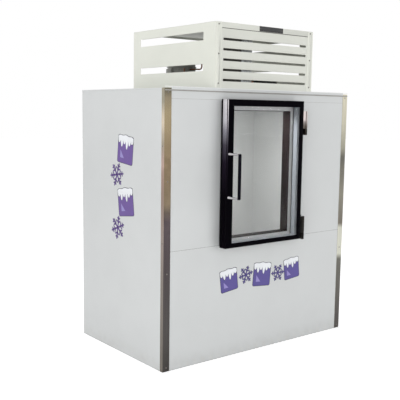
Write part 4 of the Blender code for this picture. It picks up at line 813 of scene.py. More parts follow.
# painted highlight on the door's left side
DOOR_SIDE_HIGHLIGHT = StileWithPaintedHighlight("door_side_painted_highlight", "black_door_frame", DEEP_BLACK)
GLASS = ClearGlass("clear_door_glass", "door_glass", (0.86, 0.93, 0.91))
SPACER = PlatedMetal("spacer_metal", "glass_spacer", (0.42, 0.44, 0.47), 0.32)
BEAD = MouldedPlastic("grey_glazing_bead", "grey_bead", (0.245, 0.264, 0.288), 0.35)
GASKET = FoamRubber("soft_door_gasket", "gasket_rubber", (0.018, 0.018, 0.019))
CHROME = PlatedMetal("bright_chrome", "chrome_plate", (0.92, 0.88, 0.91), 0.07)
HINGE_PLATE = PolishedSheet(
    "hinge_plate_painted_reflection", "chrome_plate", STEELY, HINGE_PAINTED_REFLECTION, HINGE_SIDE_PAINTED_REFLECTION, turn=(0.15, 0.45)
)
FIXED_LEAF = PolishedSheet("fixed_hinge_leaf_painted_reflection", "chrome_plate", STEELY, FIXED_LEAF_PAINTED_REFLECTION, HINGE_SIDE_PAINTED_REFLECTION)
GRIP = MouldedPlastic(
    "moulded_grip", "black_grip", (0.004, 0.0035, 0.007), 0.32, 0.00005, scuff=0.01, mirror=0.04
)
# dark sealant in the front seams; the same film lays painted shadow lines at the housing's joints
SEALANT_AND_PAINTED_SHADOW = FoamRubber("seam_sealant_and_painted_shadow", "white_case", (0.060, 0.055, 0.050))
# grey sealant in the header seam, also used as a painted shadow strip under the roof's lip
GREY_SEAL_AND_PAINTED_SHADOW = FoamRubber("grey_seal_and_painted_shadow", "white_case", (0.34, 0.33, 0.31))
MACHINE_BLACK = MachinePaint("black_machine_paint", "machine_black", (0.013, 0.013, 0.014))
COPPER = CopperTube("drawn_copper", "copper_line", (0.56, 0.29, 0.18))
SLEEVE = FoamRubber("line_sleeve", "line_insulation", (0.020, 0.020, 0.021))
FINS = PlatedMetal("bare_coil_fins", "aluminium_fins", (0.70, 0.71, 0.72), 0.28)
# painted light: the condenser's fins take a paler grey that stands in for light that does not reach inside
# the housing
FINS_PAINTED_LIGHTER = MachinePaint("condenser_fins_painted_light", "machine_black", (0.300, 0.285, 0.265))
MACHINE_GREY = MachinePaint("machine_grey", "machine_black", (0.340, 0.340, 0.320))
FAN = MouldedPlastic("grey_fan", "fan_plastic", (0.20, 0.21, 0.22), 0.40)
GUARD = PlatedMetal("plated_guard_wire", "guard_wire", (0.70, 0.70, 0.70), 0.18)
LENS = LampLens("lamp_lens", "light_lens", (0.96, 0.97, 1.0))
DRAIN = MouldedPlastic("white_drain_pipe", "drain_plastic", (0.72, 0.72, 0.69), 0.36)
BADGE = PlatedMetal("dark_badge_metal", "badge_plate", (0.090, 0.090, 0.092), 0.30)
CONTROL = Enamel("grey_control_enamel", "control_grey", (0.34, 0.35, 0.35), 0.45)
KEY_BLACK = MouldedPlastic("key_black", "switch_black", (0.012, 0.012, 0.012), 0.24, 0.00003, coat=0.2)
SCREW = PlatedMetal("screw_steel", "polished_trim", (0.36, 0.33, 0.30), 0.22)
DARK_SCREW = PlatedMetal("dark_screw_steel", "cream_housing", (0.085, 0.078, 0.070), 0.35)
RECESS = MouldedPlastic("screw_recess", "polished_trim", (0.015, 0.014, 0.013), 0.5)
MARKING = PrintedFilm("pale_marking", "switch_black", (0.75, 0.75, 0.73))
VIOLET_FRONT = PrintedFilm("violet_film_front", "white_case", (0.098, 0.076, 0.290))
VIOLET_SIDE = PrintedFilm("violet_film_side", "white_case", (0.143, 0.080, 0.305))
VIOLET_PALE = PrintedFilm("pale_violet_film", "white_case", (0.300, 0.255, 0.560))
FROST = PrintedFilm("frost_film", "white_case", (0.83, 0.85, 0.88))
INK = PrintedFilm("dark_outline_film", "white_case", (0.030, 0.026, 0.052))


def axis_of(body: Body) -> Vector:
    """A point on the axis that a moving group turns about."""
    return Vector(next(item["pos_m"] for item in FRAME["joints"] if item["child"] == body.value))


def scaled(outline: Outline, across: float, along: float, start: Span = (0.0, 0.0)) -> list[Span]:
    """Stretches an outline of shares, or of metres where a size is 1, from a start."""
    return [(start[0] + first * across, start[1] + second * along) for first, second in outline]


def arc(centre: Span, across: float, along: float, start: float, end: float, steps: int) -> list[Span]:
    """Points on a round or oval arc about a centre, with both of its ends."""
    turns = [start + (end - start) * step / steps for step in range(steps + 1)]
    return [(centre[0] + across * math.cos(turn), centre[1] + along * math.sin(turn)) for turn in turns]


def stand(name: str, data: bpy.types.ID) -> bpy.types.Object:
    """Makes an object of some data and links it to the scene.

    Args:
        name: the object's name.
        data: its mesh, lamp or camera.

    Returns:
        The object.
    """
    obj = bpy.data.objects.new(name, data)
    bpy.context.scene.collection.objects.link(obj)
    return obj


class Workpiece:
    """A mesh in the making. It ends as a named piece that rides on a moving group."""

    def __init__(self, mesh: bmesh.types.BMesh | None = None) -> None:
        """Takes over a mesh, or starts with nothing."""
        self.mesh = bmesh.new() if mesh is None else mesh

    def absorb(self, other: Workpiece) -> Workpiece:
        """Takes over another workpiece's mesh.

        Args:
            other: the workpiece, which is used up.

        Returns:
            This workpiece.
        """
        spare = bpy.data.meshes.new("spare")
        other.mesh.to_mesh(spare)
        other.mesh.free()
        self.mesh.from_mesh(spare)
        bpy.data.meshes.remove(spare)
        return self

    def block(self, low: Point, high: Point, edge: float = 0.0, steps: int = 2) -> Workpiece:
        """Adds a block between two corners, with rounded edges.

        Args:
            low: its lowest corner.
            high: its highest corner.
            edge: the radius of its edges.
            steps: how many flats make each round.

        Returns:
            This workpiece.
        """
        low, high = Vector(low), Vector(high)
        place = Matrix.Translation((low + high) / 2) @ Matrix.Diagonal((*(high - low), 1))
        part = Workpiece()
        bmesh.ops.create_cube(part.mesh, size=1, matrix=place)
        if edge > 0:
            part.rounded(edge, steps)
        return self.absorb(part)

    def rounded(self, edge: float, steps: int = 2, angle: float = SHARP_ANGLE) -> Workpiece:
        """Rounds every edge that is sharper than an angle.

        Args:
            edge: the width of the round.
            steps: how many flats make it.
            angle: the smallest turn that counts as an edge.

        Returns:
            This workpiece.
        """
        sharp = [item for item in self.mesh.edges if item.calc_face_angle(0) > angle]
        bmesh.ops.bevel(
            self.mesh,
            geom=sharp,
            offset=edge,
            offset_type="OFFSET",
            segments=steps,
            profile=0.5,
            affect="EDGES",
            clamp_overlap=True,
            material=-1,
        )
        return self

    def slab(self, outline: Outline, axis: Axis, low: float, high: float) -> Workpiece:
        """Adds a closed outline drawn across an axis and extruded along it.

        Args:
            outline: points across the axis, in X, Y, Z order.
            axis: the axis that it is extruded along.
            low: where it starts.
            high: where it ends.

        Returns:
            This workpiece.
        """
        face = self.mesh.faces.new([self.mesh.verts.new(axis.at(point, low)) for point in outline])
        swept = bmesh.ops.extrude_face_region(self.mesh, geom=[face])
        moved = [item for item in swept["geom"] if isinstance(item, bmesh.types.BMVert)]
        bmesh.ops.translate(self.mesh, verts=moved, vec=axis.line * (high - low))
        return self

    def turned(self, profile: Outline, centre: Point, axis: Axis, sides: int = 48) -> Workpiece:
        """Adds a profile of (radius, height) points spun about an axis.

        Args:
            profile: the points; a closed profile repeats its first point at the end.
            centre: a point on the axis, from which the heights count.
            axis: the axis.
            sides: how many flats make the round.

        Returns:
            This workpiece.
        """
        part = bmesh.new()
        outward = Axis.Y.line if axis is Axis.X else Axis.X.line
        centre = Vector(centre)
        points = [centre + outward * radius + axis.line * height for radius, height in profile]
        verts = [part.verts.new(point) for point in points]
        edges = [part.edges.new(pair) for pair in zip(verts, verts[1:])]
        bmesh.ops.spin(
            part,
            geom=verts + edges,
            cent=centre,
            axis=axis.line,
            angle=math.tau,
            steps=sides,
            use_merge=True,
        )
        bmesh.ops.remove_doubles(part, verts=part.verts, dist=WELD_DISTANCE)
        return self.absorb(Workpiece(part))

    def rod(self, start: Point, end: Point, radius: float, sides: int = 32) -> Workpiece:
        """Adds a closed rod between two points.

        Args:
            start: the middle of one end.
            end: the middle of the other.
            radius: the rod's radius.
            sides: how many flats make the round.

        Returns:
            This workpiece.
        """
        start, end = Vector(start), Vector(end)
        run = end - start
        turn = run.to_track_quat("Z", "Y").to_matrix().to_4x4()
        bmesh.ops.create_cone(
            self.mesh,
            cap_ends=True,
            segments=sides,
            radius1=radius,
            radius2=radius,
            depth=run.length,
            matrix=Matrix.Translation((start + end) / 2) @ turn,
        )
        return self

    def hoop(self, centre: Point, axis: Axis, radius: float, wire: float) -> Workpiece:
        """Adds a closed ring of round wire about an axis."""
        return self.turned(arc((radius, 0.0), wire, wire, 0.0, math.tau, WIRE_SIDES), centre, axis)

    def transformed(self, matrix: Matrix) -> Workpiece:
        """Moves all that was added so far."""
        bmesh.ops.transform(self.mesh, matrix=matrix, verts=self.mesh.verts)
        return self

    def piece(
        self, name: str, finish: Finish, body: Body = Body.CABINET, node: str | None = None
    ) -> None:
        """Turns the mesh into a piece.

        Args:
            name: the piece's name.
            finish: what it is covered with.
            body: the group that it rides on.
            node: the solid that it stands for, where there is one.
        """
        bmesh.ops.recalc_face_normals(self.mesh, faces=self.mesh.faces)
        data = bpy.data.meshes.new(name)
        self.mesh.to_mesh(data)
        self.mesh.free()
        data.materials.append(finish.material())
        data.shade_smooth()
        data.set_sharp_from_angle(angle=SMOOTH_ANGLE)
        obj = stand(name, data)
        LOG.info("made %s", name)
        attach(obj, body.value)
        if node is not None:
            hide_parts(node)


def copy_of(node: str) -> Workpiece:
    """A merged copy of a solid, with its flat faces whole again.

    Args:
        node: the solid's name.

    Returns:
        The copy as a workpiece.
    """
    work = Workpiece()
    mesh = work.mesh
    mesh.from_mesh(FRAME["nodes"][node].data)
    bmesh.ops.remove_doubles(mesh, verts=mesh.verts, dist=WELD_DISTANCE)
    bmesh.ops.dissolve_limit(mesh, angle_limit=FLAT_ANGLE, verts=mesh.verts, edges=mesh.edges)
    return work


def dress(finish: Finish, *nodes: str) -> None:
    """Covers solids that keep their own shapes.

    Args:
        finish: what they are covered with.
        nodes: the solids' names.
    """
    for node in nodes:
        data = FRAME["nodes"][node].data
        data.materials.clear()
        data.materials.append(finish.material())


def soften(node: str, finish: Finish, body: Body = Body.CABINET, edge: float = 0, steps: int = 2) -> None:
    """Replaces a solid by a copy of itself with rounded edges and smooth rounds.

    Args:
        node: the solid's name.
        finish: what the copy is covered with.
        body: the group that it rides on.
        edge: the width of the round, or 0 where only the shading is smoothed.
        steps: how many flats make it.
    """
    work = copy_of(node)
    if edge > 0:
        work.rounded(edge, steps, SOFTEN_ANGLE)
    work.piece(f"{node}_formed", finish, body, node)


def hang_lamp(name: str, place: Point, aim: Point, size: Span, power: float) -> None:
    """Hangs one soft lamp.

    Args:
        name: the lamp's name.
        place: where it hangs.
        aim: what it points at.
        size: its width and height.
        power: its power in watts.
    """
    data = bpy.data.lights.new(name, "AREA")
    data.shape = "RECTANGLE"
    data.size, data.size_y = size
    data.energy = power
    lamp = stand(name, data)
    lamp.location = place
    lamp.rotation_euler = (Vector(aim) - Vector(place)).to_track_quat("-Z", "Y").to_euler()
    lamp.visible_glossy = False


@dataclass
class ScrewHead:
    """A low domed screw head with a cross recess."""

    radius: float = 0.0045
    height: float = 0.0018
    dome: Outline = ((1, 0), (0.96, 0.45), (0.78, 0.8), (0.5, 0.96), (0, 0.97))
    sides: int = 20
    recess: float = 0.0009
    recess_reach: float = 0.55
    recess_floor: float = 0.6

    def add(self, metal: Workpiece, dark: Workpiece, place: Point, outward: Point) -> None:
        """Adds one head to a metal mesh, and its recess to a dark one.

        Args:
            metal: where the head goes.
            dark: where the recess goes.
            place: the middle of the head's seat.
            outward: the way that it faces.
        """
        turn = Vector(outward).to_track_quat("Z", "Y").to_matrix().to_4x4()
        matrix = Matrix.Translation(Vector(place)) @ turn
        profile = scaled(self.dome, self.radius, self.height)
        metal.absorb(Workpiece().turned(profile, (0, 0, 0), Axis.Z, self.sides).transformed(matrix))
        reach, half = self.radius * self.recess_reach, self.recess / 2
        floor = self.height * self.recess_floor
        cross = Workpiece()
        cross.block((-reach, -half, floor), (reach, half, self.height))
        cross.block((-half, -reach, floor), (half, reach, self.height))
        dark.absorb(cross.transformed(matrix))


@dataclass
class CornerTrims:
    """The polished angles over the front corners, with a rolled bend, and their screws."""

    sheet: float = 0.0012
    bend: float = 0.0028
    bend_steps: int = 5
    front_inset: float = 0.024
    side_inset: float = 0.014
    front_rises: tuple[float, ...] = (0.024, 0.5742, 1.1008, 1.596)
    side_rises: tuple[float, ...] = (0.1993, 0.7501, 1.2992)
    screw: ScrewHead = field(default_factory=ScrewHead)

    def outline(self, side: int, low: Vector, high: Vector) -> list[Span]:
        """The angle's section, with an arc at its bend.

        Args:
            side: -1 at the left corner, 1 at the right.
            low: the solid's lowest corner.
            high: the solid's highest corner.

        Returns:
            Points in X and Y.
        """
        outer = (low.x if side < 0 else high.x) - side * self.screw.height
        inner = high.x if side < 0 else low.x
        front, back = low.y + self.screw.height, high.y
        centre = (outer - side * self.bend, front + self.bend)
        points = [(inner, front + self.sheet), (inner, front)]
        points += arc(centre, side * self.bend, self.bend, -QUARTER, 0.0, self.bend_steps)
        points += [(outer, back), (outer - side * self.sheet, back)]
        points.append((outer - side * self.sheet, front + self.sheet))
        return points

    def build(self) -> None:
        """Builds both angles and their screws."""
        metal, dark = Workpiece(), Workpiece()
        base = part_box("base_pan")
        corners = (("left_corner_trim", -1, LEFT_TRIM), ("right_corner_trim", 1, RIGHT_TRIM))
        for node, side, finish in corners:
            low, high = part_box(node)
            angle = Workpiece().slab(self.outline(side, low, high), Axis.Z, low.z, high.z)
            angle.piece(f"{node}_bent", finish, node=node)
            across = side * (base[1].x - self.front_inset)
            face = low.y + self.screw.height
            for rise in self.front_rises:
                self.screw.add(metal, dark, (across, face, rise), (0, -1, 0))
            outer = (low.x if side < 0 else high.x) - side * self.screw.height
            depth = base[0].y + self.side_inset
            for rise in self.side_rises:
                self.screw.add(metal, dark, (outer, depth, rise), (side, 0, 0))
        metal.piece("trim_screws", SCREW)
        dark.piece("trim_screw_recesses", RECESS)


@dataclass
class Case:
    """The painted case, its base, its foam and its roof."""

    roof_edge: float = 0.0008
    rivet: float = 0.0035
    rivet_dome: Outline = ((1, 0), (0.8, 0.35), (0, 0.5))
    rivet_inset: float = 0.014
    rivet_count: int = 9
    seam_setback: float = 0.0002
    band: float = 0.018
    hem: float = 0.0021
    lip_shadow: float = 0.0072

    def build(self) -> None:
        """Dresses the skins and rounds the roof's lips."""
        dress(WHITE_CASE, "left_side_skin", "right_side_skin", "back_skin")
        dress(WHITE_CASE, "front_lower_panel", "front_upper_panel", "front_header_panel")
        dress(ZINC, "base_pan")
        dress(FOAM, "foam_insulation")
        soften("roof_cap", WHITE_CASE, edge=self.roof_edge)
        self.seams()
        self.roof_edge_lines()
        self.rivets()

    def seams(self) -> None:
        """Fills the two seams across the front with a thin line of sealant."""
        joints = (
            ("front_lower_panel", "front_upper_panel", SEALANT_AND_PAINTED_SHADOW),
            ("front_upper_panel", "front_header_panel", GREY_SEAL_AND_PAINTED_SHADOW),
        )
        for lower, upper, finish in joints:
            low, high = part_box(lower)
            start = (low.x, low.y + self.seam_setback, high.z)
            line = Workpiece().block(start, (high.x, high.y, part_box(upper)[0].z))
            line.piece(f"{upper}_seam", finish)

    def roof_edge_lines(self) -> None:
        """Rolls the hem along the roof's front band, brightened as a painted highlight, and lays a grey
        strip under it as a painted shadow.
        """
        low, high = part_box("roof_cap")
        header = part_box("front_header_panel")
        left, right = header[0].x + HAIR, header[1].x - HAIR
        front, top = low.y + self.hem - HAIR, high.z - self.hem
        hem = Workpiece().rod((left, front, top), (right, front, top), self.hem, SMALL_SIDES)
        # painted highlight: the hem takes a brighter copy of the case enamel
        hem.piece("roof_hem_painted_highlight", WHITE_CASE_PAINTED_HIGHLIGHT)
        # painted shadow: a grey strip below the roof's lip
        foot = high.z - self.band
        start = (left, low.y + HAIR, foot - self.lip_shadow)
        lip_shadow_strip = Workpiece().block(start, (right, header[0].y - HAIR, foot - HAIR))
        lip_shadow_strip.piece("roof_lip_painted_shadow", GREY_SEAL_AND_PAINTED_SHADOW)

    def rivets(self) -> None:
        """Adds the row of domed rivets down each edge of the back."""
        low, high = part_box("back_skin")
        rivets = Workpiece()
        dome = scaled(self.rivet_dome, self.rivet, self.rivet)
        pitch = (high.z - low.z - self.rivet_inset * 2) / (self.rivet_count - 1)
        for x in (low.x + self.rivet_inset, high.x - self.rivet_inset):
            for index in range(self.rivet_count):
                place = (x, high.y, low.z + self.rivet_inset + index * pitch)
                rivets.turned(dome, place, Axis.Y, SMALL_SIDES)
        rivets.piece("back_rivets", ZINC)


@dataclass
class Compartment:
    """The liner, the doorway's jamb, the racks, the drain and the lamp."""

    jamb_edge: float = 0.0008
    rack_edge: float = 0.0006
    lamp_edge: float = 0.003
    lens_share: float = 0.56
    lens_inset: float = 0.003
    lens_steps: int = 16
    lamp_aim: Point = (0.0, 0.15, -0.90)
    lamp_power: float = 6.4

    def build(self) -> None:
        """Dresses the liner and builds what stands in it."""
        dress(LINER, "liner_floor", "liner_ceiling", "liner_wrap", "liner_front_wall")
        soften("doorway_jamb", JAMB, edge=self.jamb_edge)
        soften("floor_rack_left", ZINC, Body.RACK_LEFT, self.rack_edge, 1)
        soften("floor_rack_right", ZINC, Body.RACK_RIGHT, self.rack_edge, 1)
        soften("floor_drain", DRAIN)
        self.lamp()

    def lamp(self) -> None:
        """Builds the lamp: a slim base under the ceiling and a half-round lens below it."""
        low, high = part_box("interior_light")
        centre = (low + high) / 2
        drop = (high.z - low.z) * self.lens_share
        seat = Workpiece().block((low.x, low.y, low.z + drop), high, self.lamp_edge)
        seat.piece("lamp_base", COLD_CASE, node="interior_light")
        half = (high.y - low.y) / 2 - self.lens_inset
        outline = arc((centre.y, low.z + drop), -half, HAIR - drop, 0.0, math.pi, self.lens_steps)
        lens = Workpiece().slab(outline, Axis.X, low.x + self.lens_inset, high.x - self.lens_inset)
        lens.piece("lamp_lens_bar", LENS)
        below = Vector((centre.x, centre.y, low.z - self.lens_inset))
        size = (high.x - low.x, high.y - low.y)
        hang_lamp("compartment_lamp", below, below + Vector(self.lamp_aim), size, self.lamp_power)


@dataclass
class Door:
    """The glazed door: its frame, panes, gasket and handle."""

    spacer_edge: float = 0.0005
    bead_edge: float = 0.0012
    gasket_edge: float = 0.0025
    gasket_steps: int = 3
    foot_radius: float = 0.010
    foot_height: float = 0.004
    foot_shape: Outline = ((0, 0), (1, 0), (1, -0.6), (0.92, -1))
    neck_shape: Outline = ((0.86, 0.30), (0.74, 0.40))
    shaft_radius: float = 0.0065
    shaft_tip: float = 0.9
    grip_round: float = 0.0075
    grip_steps: int = 5

    def build(self) -> None:
        """Dresses the frame and the glazing, and builds the handle."""
        # the left stile carries the painted highlight on its side
        soften("door_left_stile", DOOR_SIDE_HIGHLIGHT, Body.DOOR)
        for node in ("door_right_stile", "door_top_rail", "door_bottom_rail"):
            soften(node, DOOR_BLACK, Body.DOOR)
        dress(GLASS, "door_outer_glass", "door_inner_glass")
        soften("glass_spacer", SPACER, Body.DOOR, self.spacer_edge, 1)
        soften("glazing_bead", BEAD, Body.DOOR, self.bead_edge)
        soften("door_gasket", GASKET, Body.DOOR, self.gasket_edge, self.gasket_steps)
        self.handle()

    def handle(self) -> None:
        """Builds the plated posts and the rounded grip."""
        for node in ("lower_handle_post", "upper_handle_post"):
            low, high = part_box(node)
            middle = ((low.x + high.x) / 2, high.y, (low.z + high.z) / 2)
            tip, shaft = low.y - high.y, self.shaft_radius
            profile = scaled(self.foot_shape, self.foot_radius, self.foot_height)
            profile += scaled(self.neck_shape, self.foot_radius, tip)
            profile += [(shaft, tip / 2), (shaft, tip + self.foot_height / 2)]
            profile += [(shaft * self.shaft_tip, tip), (0, tip)]
            Workpiece().turned(profile, middle, Axis.Y).piece(f"{node}_turned", CHROME, Body.DOOR, node)
        low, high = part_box("handle_grip")
        grip = Workpiece().block(low, high, self.grip_round, self.grip_steps)
        grip.piece("handle_grip_moulded", GRIP, Body.DOOR, "handle_grip")


@dataclass
class Hinges:
    """The two plated hinges: a leaf and pin on the cabinet, and a leaf on the door's edge."""

    pin_radius: float = 0.005
    pin_drop: float = 0.0048
    barrel: float = 0.011
    split: float = 0.040
    plate: float = 0.004
    web: float = 0.010
    strap: float = 0.016
    edge: float = 0.0012
    crown: Outline = ((0, -2), (-1, -0.6), (-3, 0))
    cap: float = 0.0024
    screw_rises: tuple[float, ...] = (0.22, 0.50, 0.78)
    screw: ScrewHead = field(default_factory=lambda: ScrewHead(0.005, 0.0018))

    def build(self) -> None:
        """Builds both hinges on the door's axis."""
        x, y, _ = axis_of(Body.DOOR)
        metal, dark = Workpiece(), Workpiece()
        for place in ("lower", "upper"):
            fixed = f"{place}_hinge_cabinet_leaf"
            self.cabinet_leaf(fixed, x, y)
            self.door_leaf(f"{place}_hinge_door_leaf", x, y)
            low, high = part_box(fixed)
            for rise in self.screw_rises:
                seat = (high.x - self.barrel, high.y - self.plate, low.z + (high.z - low.z) * rise)
                self.screw.add(metal, dark, seat, (0, -1, 0))
        metal.piece("hinge_screws", SCREW)
        dark.piece("hinge_screw_recesses", RECESS)

    def cabinet_leaf(self, node: str, x: float, y: float) -> None:
        """Builds the plate, the web, the lower barrel and the pin.

        Args:
            node: the solid that it stands for.
            x: the axis's X.
            y: the axis's Y.
        """
        low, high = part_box(node)
        top, tip = low.z + self.split, high.z - self.pin_drop
        work = Workpiece().block((low.x, high.y - self.plate, low.z), high, self.edge)
        half, back = self.web / 2, high.y - self.plate / 2
        work.block((x - half, y, low.z), (x + half, back, top), self.edge)
        radius, soft, pin = self.barrel, self.edge, self.pin_radius
        profile = [(0, low.z), (radius - soft, low.z), (radius, low.z + soft), (radius, top - soft)]
        profile += [(radius - soft, top), (pin, top), (pin, tip), (0, tip)]
        work.turned(profile, (x, y, 0), Axis.Z)
        work.piece(f"{node}_formed", FIXED_LEAF, node=node)

    def door_leaf(self, node: str, x: float, y: float) -> None:
        """Builds the leaf on the door's edge, its strap and the upper barrel.

        Args:
            node: the solid that it stands for.
            x: the axis's X.
            y: the axis's Y.
        """
        low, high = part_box(node)
        work = Workpiece().block(low, (low.x + self.plate, high.y, high.z), self.edge)
        half = self.strap / 2
        start = (low.x + self.edge, y - half, low.z)
        work.block(start, (x - self.pin_radius, y + half, high.z), self.edge)
        radius, soft, bore = self.barrel, self.edge, self.pin_radius + HAIR
        lid = high.z - self.cap
        profile = [(bore, low.z), (radius - soft, low.z), (radius, low.z + soft)]
        profile += scaled(self.crown, soft, soft, (radius, high.z))
        profile += [(0, high.z), (0, lid), (bore, lid), (bore, low.z)]
        work.turned(profile, (x, y, 0), Axis.Z)
        work.piece(f"{node}_formed", HINGE_PLATE, Body.DOOR, node)


@dataclass
class Housing:
    """The louvred housing on the roof, its screws and its bare plate."""

    edge: float = 0.0004
    screw_inset: float = 0.0245
    screw_drops: tuple[float, ...] = (0.01356, 0.18135, 0.35146)
    screw: ScrewHead = field(default_factory=lambda: ScrewHead(0.0052, 0.0021))
    lip: float = 0.032
    flange: float = 0.047
    joint: float = 0.0032
    badge_edge: float = 0.0007
    badge_rim: float = 0.0022
    rivet_inset: float = 0.0088
    rivet_dome: Outline = ((1, 0), (0.7, -0.7), (0, -1))

    def build(self) -> None:
        """Softens the sheets and adds the screws and the plate."""
        # painted light on the side panels, painted shade on the louvre panel and cover
        soften("housing_left_panel", CREAM_SIDE_PAINTED_LIGHT)
        soften("housing_right_panel", CREAM_SIDE_PAINTED_LIGHT)
        soften("housing_louvre_panel", CREAM_HOUSING_PAINTED_SHADE, edge=self.edge, steps=1)
        soften("housing_top_cover", CREAM_HOUSING_PAINTED_SHADE, edge=self.edge, steps=1)
        self.screws()
        self.joints()
        self.badge()

    def screws(self) -> None:
        """Adds the screws of both front flanges."""
        low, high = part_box("housing_top_cover")
        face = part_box("base_pan")[0].y
        metal, dark = Workpiece(), Workpiece()
        for x in (low.x + self.screw_inset, high.x - self.screw_inset):
            for drop in self.screw_drops:
                self.screw.add(metal, dark, (x, face, high.z - drop), (0, -1, 0))
        metal.piece("housing_screws", DARK_SCREW)
        dark.piece("housing_screw_recesses", RECESS)

    def joints(self) -> None:
        """Lays dark strips as painted shadow lines under the cover's front lip and along the panel's foot.
        """
        low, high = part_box("housing_top_cover")
        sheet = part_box("housing_louvre_panel")[0]
        reach = high.x - self.flange - HAIR
        # painted shadow: dark strips where the cover's lip and the panel's foot throw shade
        shadow_lines = Workpiece()
        for level in (high.z - self.lip - self.joint, sheet.z + HAIR):
            shadow_lines.block((-reach, low.y + HAIR, level), (reach, sheet.y - HAIR, level + self.joint))
        shadow_lines.piece("housing_joint_painted_shadow", SEALANT_AND_PAINTED_SHADOW)

    def badge(self) -> None:
        """Builds the bare plate with a raised rim and two rivets."""
        low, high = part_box("badge_plate")
        rim, face = self.badge_rim, low.y + self.badge_edge
        work = Workpiece().block((low.x, face, low.z), high, self.badge_edge / 2)
        bars = (
            ((low.x, low.z), (high.x, low.z + rim)),
            ((low.x, high.z - rim), (high.x, high.z)),
            ((low.x, low.z), (low.x + rim, high.z)),
            ((high.x - rim, low.z), (high.x, high.z)),
        )
        for (x0, z0), (x1, z1) in bars:
            work.block((x0, low.y, z0), (x1, high.y, z1), self.badge_edge / 3, 1)
        work.piece("badge_plate_rimmed", BADGE, node="badge_plate")
        rivets = Workpiece()
        dome = scaled(self.rivet_dome, rim, self.badge_edge)
        for x in (low.x + self.rivet_inset, high.x - self.rivet_inset):
            rivets.turned(dome, (x, face, (low.z + high.z) / 2), Axis.Y, SMALL_SIDES)
        rivets.piece("badge_rivets", SCREW)


@dataclass
class FanWheel:
    """A fan with a domed hub and twisted blades that turns about Y."""

    hub: float = 0.022
    blades: int = 5
    root_chord: float = 0.030
    tip_chord: float = 0.070
    root_pitch: float = math.radians(38)
    tip_pitch: float = math.radians(20)
    thickness: float = 0.0016
    rows: int = 8
    strips: int = 6
    camber: float = 0.22
    sweep: float = 0.22
    root_share: float = 0.9
    tip_share: float = 0.985
    dome_share: float = 0.18

    def blade(self, radius: float) -> Workpiece:
        """One blade along +X, widening and flattening from its root to its tip.

        Args:
            radius: the fan's tip radius.

        Returns:
            The blade.
        """
        work = Workpiece()
        half, root = 0.5, self.hub * self.root_share
        bmesh.ops.create_grid(work.mesh, x_segments=self.rows, y_segments=self.strips, size=half)
        for vert in work.mesh.verts:
            share = vert.co.x + half
            chord = self.root_chord + (self.tip_chord - self.root_chord) * share
            pitch = self.root_pitch + (self.tip_pitch - self.root_pitch) * share
            across = vert.co.y * chord
            camber = (half**2 - vert.co.y**2) * chord * self.camber
            y = across * math.sin(pitch) - camber * math.cos(pitch)
            z = across * math.cos(pitch) + camber * math.sin(pitch) + share * share * chord * self.sweep
            vert.co = (root + (radius - root) * share, y, z)
        bmesh.ops.recalc_face_normals(work.mesh, faces=work.mesh.faces)
        bmesh.ops.solidify(work.mesh, geom=work.mesh.faces, thickness=self.thickness)
        return work

    def build(self, node: str, body: Body) -> None:
        """Builds the wheel inside a fan's solid.

        Args:
            node: the solid that it stands for.
            body: the group that turns.
        """
        centre = axis_of(body)
        low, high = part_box(node)
        radius = max(high.x - centre.x, centre.x - low.x, high.z - centre.z) * self.tip_share
        half = (high.y - low.y) / 2 - HAIR
        step = self.hub * self.dome_share
        profile = [(0, -half), (self.hub - step, -half), (self.hub, step - half)]
        profile += [(self.hub, half - step), (self.hub - step, half), (0, half)]
        wheel = Workpiece().turned(profile, centre, Axis.Y)
        for index in range(self.blades):
            turn = Matrix.Rotation(math.tau * index / self.blades, 4, "Y")
            wheel.absorb(self.blade(radius).transformed(Matrix.Translation(centre) @ turn))
        wheel.piece(f"{node}_wheel", FAN, body, node)


@dataclass
class FanMotor:
    """A small fan motor with cooling ribs, its shaft and the arm or post that carries it.

    The arm's sizes are half its width and half its depth. It hangs from the top of the motor's
    solid, or stands at its foot and ends a drop below the top.
    """

    fan: Body
    radius: float
    length: float
    arm: Span
    hangs: bool = False
    drop: float = 0.060
    nose: Outline = ((0, 0), (0.55, 0), (0.85, 0.08), (1, 0.16))
    tail: Outline = ((0.85, 0.94), (0.5, 1), (0, 1))
    ribbed: Span = (0.16, 0.84)
    ribs: int = 6
    rib: float = 0.0012
    rib_shape: Outline = ((0, 0.55), (-1, 0.62), (-1, 0.93), (0, 1))
    shaft: float = 0.004
    shaft_sides: int = 20

    def build(self, node: str) -> None:
        """Builds the motor inside its solid.

        Args:
            node: the solid that it stands for.
        """
        low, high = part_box(node)
        x, z = (low.x + high.x) / 2, axis_of(self.fan).z
        front, middle = high.y - self.length, high.y - self.length / 2
        profile = scaled(self.nose, self.radius, self.length)
        start, end = self.ribbed
        pitch = self.length * (end - start) / self.ribs
        for index in range(self.ribs):
            place = (self.radius, self.length * start + index * pitch)
            profile += scaled(self.rib_shape, self.rib, pitch, place)
        profile += scaled(self.tail, self.radius, self.length)
        work = Workpiece().turned(profile, (x, front, z), Axis.Y)
        work.rod((x, low.y, z), (x, front + self.rib, z), self.shaft, self.shaft_sides)
        wide, deep = self.arm
        foot, top = (z, high.z) if self.hangs else (low.z, high.z - self.drop)
        work.block((x - wide, middle - deep, foot), (x + wide, middle + deep, top), self.rib)
        work.piece(f"{node}_cased", MACHINE_BLACK, node=node)


